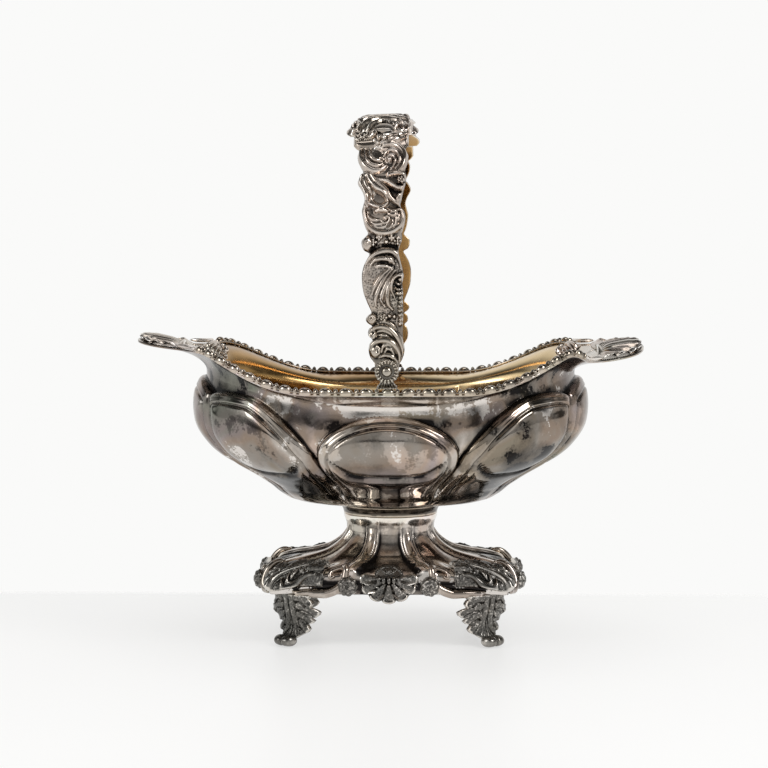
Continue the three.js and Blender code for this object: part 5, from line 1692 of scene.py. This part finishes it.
def chase_neck(work):
    """Sunk band with small flowers and two knobs, between oval and volute."""
    work.groove([(-8, 57.0), (-4, 59.2), (0.5, 60.2), (5, 59.3), (8.5, 57)], 1.7, 1.3)
    work.matt(0, 62.2, 8, 3.0)
    work.boss(-8.0, 61.2, 2.5, 3.7, 2.7)
    work.spiral(-8.0, 61.2, 1.9, 0.9, 20, 0.6, 3.2)
    work.boss(1.2, 61.6, 1.2, 1.2, 2.6)
    for x, y, size in ((-5.0, 61.6, 1.2), (6.6, 62.0, 1.3), (3.8, 63.4, 0.9), (-2.2, 63.8, 1.0)):
        flower(work, x, y, 4, size, 0.8, 2.2)


# %% Chasing from the volute to the crown


def chase_volute(work):
    """Round volute with ribs that wind into it, under the pierced eye of the twisted leaf."""
    work.boss(0.3, 72.0, 9.8, 7.6, 1.2, sharp=0.6)
    strokes(
        work, 1.5, 2.7,
        [
            (-8.6, 79.4), (-9.0, 74.6), (-7.6, 70.2), (-4.4, 67.0), (-0.4, 66.0), (4, 66.6), (7.8, 69.4), (9.4, 73.6),
            (8.4, 77.4),
        ],
    )
    strokes(
        work, 0.95, 2.1,
        [(-7.4, 76.4), (-6.8, 73.6), (-4.2, 72.2), (-1.6, 72.6)],
        [(-6.6, 72.0), (-4.4, 70.4), (-1.4, 70.4), (0.6, 71.8)],
        [(-5.4, 69.9), (-2.6, 68.7), (0.6, 69.1), (2.4, 70.8)], [(-1.6, 67.8), (1.8, 67.8), (4.0, 69.6), (4.2, 72.0)],
        [(3.2, 67.8), (5.8, 69.8), (6.2, 73.0), (4.2, 74.8)], [(6.8, 70.8), (7.6, 73.6), (6.4, 76.4)],
    )
    work.spiral(1.4, 72.6, 2.4, 1.1, 200, 0.9, 2.7)
    strokes(work, 1.2, 2.5, [(2.8, 77.0), (5.0, 76.0), (7.4, 77.2)], [(1.6, 75.4), (4.6, 74.4), (7.6, 75.2)])
    strokes(work, 1.6, 3.5, [(-3.2, 76.3), (-1.0, 76.9), (1.6, 76.2)], ends=(0.7, 0.7))
    strokes(work, 0.9, 2.8, [(-7.0, 80.6), (-4.6, 79.0), (-2.0, 78.5), (0.4, 78.7), (2.2, 80.2)], ends=(0.6, 0.8))


def chase_leaf(work):
    """Leaf that twists down to the volute, and the folded tongue beside it."""
    work.hole(4.0, 86.6, 3.2, 2.2, 0.8, turn=-30)
    strokes(
        work, 1.6, 2.7, [(-10.6, 95.0), (-11.0, 90.8), (-9.9, 87.2), (-8.2, 84.4), (-7.8, 81.2), (-7.6, 79.0)],
        ends=(0.7, 0.5),
    )
    strokes(work, 1.2, 2.7, [(-8.4, 95.2), (-8.8, 92.0), (-8.0, 89.2), (-6.4, 86.8), (-5.4, 84.6)], ends=(0.7, 0.4))
    strokes(
        work, 1.5, 3.1, [(-7.4, 94.6), (-6.0, 91.2), (-3.4, 88.2), (-0.4, 86.0), (1.4, 83.6), (2.2, 80.8)],
        ends=(0.7, 0.5),
    )
    strokes(
        work, 1.3, 2.8,
        [(-5.6, 94.6), (-3.6, 91.4), (-0.6, 88.8), (1.8, 86.2), (3.4, 83.2), (5.8, 80.8), (7.8, 79.2)],
        ends=(0.7, 0.6),
    )
    strokes(
        work, 1.2, 3.2,
        [(-4.6, 93.0), (-1.2, 91.6), (2.2, 90.6), (5.0, 88.8), (7.4, 87.4), (9.8, 87.6), (10.9, 89.4)],
        ends=(0.4, 0.8),
    )
    strokes(work, 1.0, 2.8, [(2.4, 94.0), (6.4, 94.8), (9.8, 94.4), (11.2, 92.0)])
    flower(work, 8.8, 91.6, 5, 1.2, 0.8, 2.8)
    work.hole(-1.9, 83.0, 3.0, 2.4, 2.6, turn=-32)
    strokes(work, 1.2, 3.3, [(9.4, 84.2), (7.6, 83.4), (7.1, 81.6), (7.4, 80.0)], ends=(0.8, 0.6))
    strokes(work, 1.0, 2.2, [(10.6, 87.2), (9.6, 84.8), (9.0, 82.2), (8.6, 80.2)])

# %% Chasing of the scroll below the crown


def chase_scroll(work):
    """The large S-scroll under the crown: tubes round a pierced eye, and a comma that winds up."""
    work.boss(0.2, 103.4, 11.4, 9.0, 0.7, sharp=0.6)
    strokes(
        work, 1.5, 2.8,
        [(-10.8, 109.4), (-11.0, 105.2), (-9.6, 101.0), (-6.9, 97.9), (-3.8, 96.4), (-0.6, 97.0), (1.6, 98.9)],
        ends=(0.8, 0.5),
    )
    strokes(
        work, 1.2, 2.6, [(-8.6, 109.0), (-8.4, 104.6), (-6.8, 101.2), (-4.2, 99.3), (-1.4, 99.3), (0.4, 100.7)],
        ends=(0.7, 0.4),
    )
    strokes(
        work, 1.1, 2.7, [(-6.2, 108.9), (-6.1, 105.4), (-4.8, 102.9), (-2.4, 101.9), (-0.3, 102.8)], ends=(0.8, 0.5)
    )
    work.ridge([(-4.6, 109.2), (-2.6, 109.6), (-0.6, 108.6), (0.0, 106.4)], 0.8, 2.4)
    strokes(
        work, 1.7, 3.0,
        [
            (0.8, 111.8), (4.2, 112.1), (7.6, 110.6), (10.0, 107.2), (10.8, 103.0), (9.6, 98.8), (6.6, 95.8),
            (2.6, 95.0),
        ],
        ends=(0.5, 0.5),
    )
    strokes(
        work, 1.3, 3.1,
        [(1.2, 105.4), (2.8, 107.4), (5.2, 107.8), (7.4, 106.2), (8.4, 103.2), (8.0, 100.2), (6.4, 97.8)],
        ends=(0.6, 0.5),
    )
    strokes(
        work, 1.1, 2.7, [(1.6, 103.2), (3.2, 104.8), (5.2, 104.4), (6.3, 102.2), (5.8, 99.8), (4.2, 97.6)],
        ends=(0.5, 0.5),
    )
    work.boss(3.4, 102.2, 1.5, 1.5, 2.9)
    work.groove([(-1.2, 104.2), (0.6, 102.2), (1.6, 99.8)], 0.9, 0.8)


# %% The cuff where arm and crown meet
CUFF_STUDS = [
    (-12.8, 116.6), (-10.6, 118.2), (-12.6, 120.0), (-8.8, 116.4), (-8.6, 119.8), (-10.8, 121.8), (-12.6, 123.6),
    (-8.8, 123.2),
]
STRAP_LEAST, STRAP_BACK_SHARE = 0.35, 0.97


def chase_ruffles(work, ahead=0.0):
    """The cuff where arm and crown meet. ahead is the length at which the strip itself starts."""
    def moved(*points):
        return [(x, length - ahead) for x, length in points]

    work.matt(-10.6, 119.5 - ahead, 3.8, 5.0)
    for x, length in moved(*CUFF_STUDS):
        flower(work, x, length, 3, 0.8, 0.7, 1.6)
    strokes(work, 2.6, 2.1, moved((-13.4, 113.4), (-9.2, 112.7), (-5.4, 112.9), (-2.8, 113.6)), ends=(0.8, 0.8))
    strokes(work, 1.3, 3.0, moved((-5.2, 114.4), (-3.6, 113.8), (-2.4, 112.6)), ends=(0.6, 0.8))
    strokes(work, 1.7, 3.3, moved((-6.0, 117.2), (-4.6, 119.8), (-2.6, 123.2)), ends=(0.8, 0.4))
    work.boss(-1.9, 117.2 - ahead, 1.2, 1.4, 2.8)
    work.hole(-1.9, 117.2 - ahead, 0.5, 0.6, 1.2)
    strokes(
        work, 1.4, 2.8, moved((-0.4, 113.4), (3.4, 113.6), (7.4, 115.4), (10.8, 117.6)),
        moved((0.8, 119.6), (4.6, 118.8), (8.8, 119.0), (12.0, 121.0)),
    )
    work.boss(1.0, 116.6 - ahead, 1.5, 1.7, 2.7)
    strokes(
        work, 1.5, 2.6, moved((3.6, 116.6), (6.6, 117.0), (9.4, 119.6)),
        moved((5.0, 122.0), (8.6, 122.4), (11.4, 123.6)),
    )
    strokes(
        work, 0.9, 2.6,
        moved(
            (-7.4, 120.4), (-7.4, 123.6), (-6.6, 127.0), (-5.0, 130.6), (-2.6, 133.4), (0, 134.6), (3.2, 133.6),
            (5.4, 131.0),
        ),
    )
    strokes(
        work, 1.1, 2.6, moved((12.4, 114.8), (12.9, 119.4), (13.4, 125.0), (13.9, 131.0), (15.2, 136.0)),
        ends=(0.8, 0.8),
    )
    strokes(work, 1.3, 2.2, moved((-13.9, 116.0), (-14.2, 120.4), (-13.9, 125.0)), ends=(0.8, 0.8))

# %% An arm as a plate


def arm_half(length, x_side):
    return np.where(x_side < 0, curve_through(ARM_LEFT, length), curve_through(ARM_RIGHT, length))


def strap_ground(side, thick, edge=0.9):
    return edge + (thick - edge) * np.clip(1 - side ** 2, 0, 1) ** 0.55


def arm_flat(u, v):
    side = 2 * u - 1
    length = mix(ARM_START, ARM_END, v)
    return side * arm_half(length, side), length, side


def arm_work(u, v):
    x, length, side = arm_flat(u, v)
    work = Chasing(x, length, strap_ground(side, 1.6))
    for chase in (chase_lower_arm, chase_oval, chase_neck, chase_volute, chase_leaf, chase_scroll, chase_ruffles):
        chase(work)
    eye = smooth_step(3.0, 6.4, length)
    rounded = smooth_step(1.0, 0.93, np.abs(side))
    work.height = mix(0.4, work.height, rounded)
    work.height = mix(STRAP_EYE * 0.97, work.height, eye)
    return work


def add_strap(name, node, across, rows, flat, worked, turned=False):
    def wrap(points):
        return leaned(half_turned(points) if turned else points)

    def upper(u, v):
        x, length, _ = flat(u, v)
        return wrap(strap_point(x, length, np.maximum(worked(u, v).height, STRAP_LEAST)))

    def lower(u, v):
        x, length, _ = flat(u, v)
        return wrap(strap_point(x * STRAP_BACK_SHARE, length, 0 * x))

    strap = plate_form(name, across, rows, upper, lower, under=30, stipple=lambda u, v: worked(u, v).matting)
    finish_piece(strap, "handle", "handle_silver", [CAST_SILVER, GILT], node, rounds=14, depth=0.75)
    gild_marked(strap.data, "under")


# %% Arms
for end, turned in (("front", False), ("rear", True)):
    add_strap(f"chased_arm_{end}", f"handle_arm_{end}", 112, 330, arm_flat, arm_work, turned)

# %% Crown of the handle
CROWN_SPAN = ARCH_LENGTH[-1] - 2 * LENGTH_TO_CROWN
CROWN_OUTLINE = [
    (0, 16.4), (0.02, 17.6), (0.06, 17.2), (0.1, 14.6), (0.14, 13.4), (0.2, 14.4), (0.27, 15.4),
    (0.33, 14.2), (0.37, 12.6),
    (0.42, 13.6), (0.5, 16.2),
]


def crown_flat(u, v):
    side = 2 * u - 1
    half = curve_through(CROWN_OUTLINE, 0.5 - np.abs(v - 0.5))
    return side * half, LENGTH_TO_CROWN + v * CROWN_SPAN, side


def chase_crown_end(work):
    """A smooth dome in two raised arches, with folds on its right and a leaf on its left."""
    work.boss(0.2, 4.6, 5.8, 7.6, 1.5, sharp=0.6)
    chase_ruffles(work, LENGTH_TO_CROWN)
    strokes(
        work, 1.8, 2.9,
        [(-10.4, 7.6), (-8.8, 12.0), (-6.2, 15.6), (-2.0, 18.0), (3.0, 18.4), (7.6, 16.0), (9.4, 11.6)],
    )
    strokes(
        work, 1.3, 2.6, [(6.0, 3.2), (7.2, 6.0), (8.2, 9.2)], [(10.2, 1.6), (10.9, 6.0), (11.2, 11.0)],
        [(-12.6, 3.4), (-11.4, 7.6), (-12.4, 12.4), (-15.0, 9.6)],
    )
    strokes(work, 1.6, 2.7, [(-13.6, 16.0), (-9.6, 21.0), (-3.6, 24.4), (3.6, 25.0), (10.0, 22.6), (14.0, 18.4)])
    strokes(
        work, 1.4, 2.6, [(-4.6, 21.0), (-6.4, 27.0), (-11.0, 31.6)], [(2.0, 21.6), (3.6, 28.0), (9.2, 33.6)],
        [(8.6, 26.0), (11.4, 30.6), (12.6, 35.0)],
    )


def chase_crown_middle(work):
    """A flower between four spirals, from which leaves run to both ends."""
    work.boss(0, 0, 6.4, 8.2, 1.3, sharp=0.7)
    work.fan(0, 0, 0, 330, 12, 2.0, 7.6, 1.3, 2.6)
    work.boss(0, 0, 2.4, 2.4, 3.2)
    for hand in (-1, 1):
        work.spiral(hand * 9.6, hand * 7.6, 4.4, 1.3, 90 - 90 * hand, 1.4, 2.7, hand=hand)
        work.spiral(-hand * 9.0, hand * 10.0, 3.8, 1.2, 90 + 90 * hand, 1.2, 2.6, hand=-hand)
        work.ridge(
            [(hand * 13, hand * 3), (hand * 11.5, -hand * 5), (hand * 6, -hand * 12), (0, -hand * 16)], 1.5, 2.6
        )
        work.ridge(
            [(0, hand * 12), (-hand * 4, hand * 18), (-hand * 9, hand * 23), (-hand * 11, hand * 29)], 1.6, 2.6
        )


def crown_work(u, v):
    """The far end is chased as the near one, turned half round, so only its measures are changed."""
    x, length, side = crown_flat(u, v)
    along = length - LENGTH_TO_CROWN
    work = Chasing(x, along, strap_ground(side, 1.9))
    chase_crown_end(work)
    work.x, work.y = -x, CROWN_SPAN - along
    chase_crown_end(work)
    work.x, work.y = x, along - CROWN_SPAN / 2
    chase_crown_middle(work)
    rounded = smooth_step(1.0, 0.94, np.abs(side)) * smooth_step(0, 0.012, v) * smooth_step(0, 0.012, 1 - v)
    work.height = mix(0.5, work.height, rounded)
    return work


add_strap("chased_crown", "handle_crown", 116, 300, crown_flat, crown_work)

# %% [markdown]
# The handle turns on two rivets. Outside the strap each rivet is hidden by a petalled rosette, inside it is
# peened over the lug, and the lug stands on the border on a flared, fluted foot. Rosette and rivet start
# as cylinders whose top is inset, extruded and resized.

# %% Hinges
ROSETTE_RADIUS, ROSETTE_DEPTH, ROSETTE_BEADS = 6.1, 2.4, 18
PETAL_SIZE, PETAL_INWARD, PETAL_RISE = (2.7, 1.45, 1.25), 1.35, 1.0
DISC_RIM, DISC_SUNK, DISC_DOME = 0.9, 0.5, 2.5
DOME_STEPS = ((0.05, 0.4), (0.35, 0.55), (0.45, 0.35), (0.55, 0.2), (0.5, 0.08))
DOME_STEPS_REACH = 2.6
PIN_RADIUS, PIN_HEAD_RADIUS, PIN_HEAD_DEPTH, LUG_THICKNESS = 1.5, 2.8, 0.9, 2.0
ROSETTE_BACK = HINGE_REACH + STRAP_EYE / 2 + FIT_GAP
FACING_OUT = Matrix.Translation((0, -ROSETTE_BACK * MM, HINGE_Z * MM)) @ Matrix.Rotation(math.pi / 2, 4, "X")
print("rosettes", 2 * ROSETTE_RADIUS, "mm wide, rivets", 2 * PIN_RADIUS, "mm thick")


def start_cylinder(name, vertices, radius, depth):
    """A cylinder that stands on the origin, in edit mode with only its top selected."""
    bpy.ops.object.select_all(action="DESELECT")
    bpy.ops.mesh.primitive_cylinder_add(
        vertices=vertices, radius=radius * MM, depth=depth * MM, location=(0, 0, depth / 2 * MM)
    )
    bpy.context.object.name = name
    bpy.ops.object.transform_apply(location=True, rotation=False, scale=False)
    pick_top_faces(bpy.context.object)
    return bpy.context.object


def pick_top_faces(body):
    """Go to edit mode with only the faces that look along +Z selected."""
    bpy.ops.object.mode_set(mode="EDIT")
    bpy.ops.mesh.select_mode(type="FACE")
    bpy.ops.mesh.select_all(action="DESELECT")
    bpy.ops.object.mode_set(mode="OBJECT")
    for face in body.data.polygons:
        face.select = face.normal.z > 0.9
    bpy.ops.object.mode_set(mode="EDIT")


def make_disc(name, radius, depth, dome):
    """A turned disc: a cylinder with its face inset, sunk and domed, and its edges eased."""
    disc = start_cylinder(name, 72, radius, depth)
    bpy.ops.mesh.inset(thickness=DISC_RIM * MM)
    bpy.ops.transform.translate(value=(0, 0, -DISC_SUNK * depth * MM))
    bpy.ops.mesh.inset(thickness=(radius - DISC_RIM - dome) * MM)
    for width, rise in DOME_STEPS:
        bpy.ops.mesh.inset(thickness=width * dome / DOME_STEPS_REACH * MM)
        bpy.ops.transform.translate(value=(0, 0, rise * depth * MM))
    bpy.ops.object.mode_set(mode="OBJECT")
    bevel = disc.modifiers.new("eased", "BEVEL")
    bevel.width = 0.12 * MM
    bevel.segments = 2
    bevel.limit_method = "ANGLE"
    bpy.ops.object.modifier_apply(modifier=bevel.name)
    bpy.ops.object.shade_smooth_by_angle(angle=math.radians(45))
    return disc

# %% Rosettes and rivets


def make_rosette():
    disc = make_disc("disc", ROSETTE_RADIUS - 0.5, 0.5 * ROSETTE_DEPTH, DISC_DOME)
    disc.data.transform(FACING_OUT)
    parts = [disc]
    petal = make_egg("petal", *PETAL_SIZE)
    outward = Matrix.Translation(((ROSETTE_RADIUS - PETAL_INWARD) * MM, 0, PETAL_RISE * MM))
    for k in range(ROSETTE_BEADS):
        turned = Matrix.Rotation(2 * math.pi * k / ROSETTE_BEADS, 4, "Z")
        parts.append(copy_piece(petal, "petal", FACING_OUT @ turned @ outward))
    bpy.data.objects.remove(petal)
    return join_pieces("rosette", parts)


def make_pin():
    """A rivet: shank and peened head, with the head drawn up by insets."""
    pin = start_cylinder("pin", 40, PIN_RADIUS, STRAP_EYE + 2 * FIT_GAP + LUG_THICKNESS)
    bpy.ops.mesh.extrude_region_move(TRANSFORM_OT_translate={"value": (0, 0, 0.02 * MM)})
    bpy.ops.transform.resize(value=(PIN_HEAD_RADIUS / PIN_RADIUS, PIN_HEAD_RADIUS / PIN_RADIUS, 1))
    bpy.ops.mesh.extrude_region_move(TRANSFORM_OT_translate={"value": (0, 0, 0.4 * PIN_HEAD_DEPTH * MM)})
    for share in (0.86, 0.7, 0.45):
        bpy.ops.mesh.extrude_region_move(TRANSFORM_OT_translate={"value": (0, 0, 0.2 * PIN_HEAD_DEPTH * MM)})
        bpy.ops.transform.resize(value=(share, share, 1))
    bpy.ops.object.mode_set(mode="OBJECT")
    bpy.ops.object.shade_smooth_by_angle(angle=math.radians(50))
    outer = HINGE_REACH + STRAP_EYE / 2
    pin.data.transform(Matrix.Translation((0, -outer * MM, HINGE_Z * MM)) @ Matrix.Rotation(-math.pi / 2, 4, "X"))
    return pin


# %% Lugs, and both hinges
LUG_OUTLINE = [
    (0, 5.0), (0.1, 4.7), (0.2, 3.5), (0.34, 2.8), (0.46, 3.3), (0.6, 4.2), (0.75, 4.6), (0.88, 3.9),
    (0.96, 2.3), (1, 1.2),
]


def make_lug():
    low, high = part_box("hinge_lug_front")
    bottom, top = low[2] / MM, high[2] / MM
    back, face = high[1] / MM, low[1] / MM

    def skin(u, v, y):
        x = (2 * u - 1) * curve_through(LUG_OUTLINE, v)
        return np.stack([x, y + 0 * x, mix(bottom, top, v)], -1)

    def flutes(u, v):
        side = 2 * u - 1
        rib = 0.3 * np.cos(side * 7 * math.pi) * (1 - smooth_step(0.35, 0.5, v))
        flare = 1.3 * (1 - smooth_step(0, 0.16, v))
        edge = 0.5 * smooth_step(0.86, 1, np.abs(side))
        return face - rib - flare + edge

    return plate_form("lug", 70, 60, lambda u, v: skin(u, v, flutes(u, v)), lambda u, v: skin(u, v, back), under=30)


HALF_TURN = Matrix.Rotation(math.pi, 4, "Z")
for model, name, node, body, slot, finish in (
    (make_rosette(), "beaded_rosette", "hinge_rosette", "handle", "handle_silver", CAST_SILVER),
    (make_pin(), "rivet", "hinge_pin", "handle", "handle_silver", CAST_SILVER),
    (make_lug(), "fluted_lug", "hinge_lug", "dish", "cast_silver", CAST_SILVER),
):
    for end, matrix in (("front", Matrix.Identity(4)), ("rear", HALF_TURN)):
        part = copy_piece(model, f"{name}_{end}", matrix)
        finish_piece(part, body, slot, [finish], f"{node}_{end}", rounds=4, depth=0.35)
    bpy.data.objects.remove(model)

# %% [markdown]
# Last, the size of the dressed model is written beside the size of the packed one, so that the two can be
# compared, and the frame is checked and closed.

# %% Sizes and the end
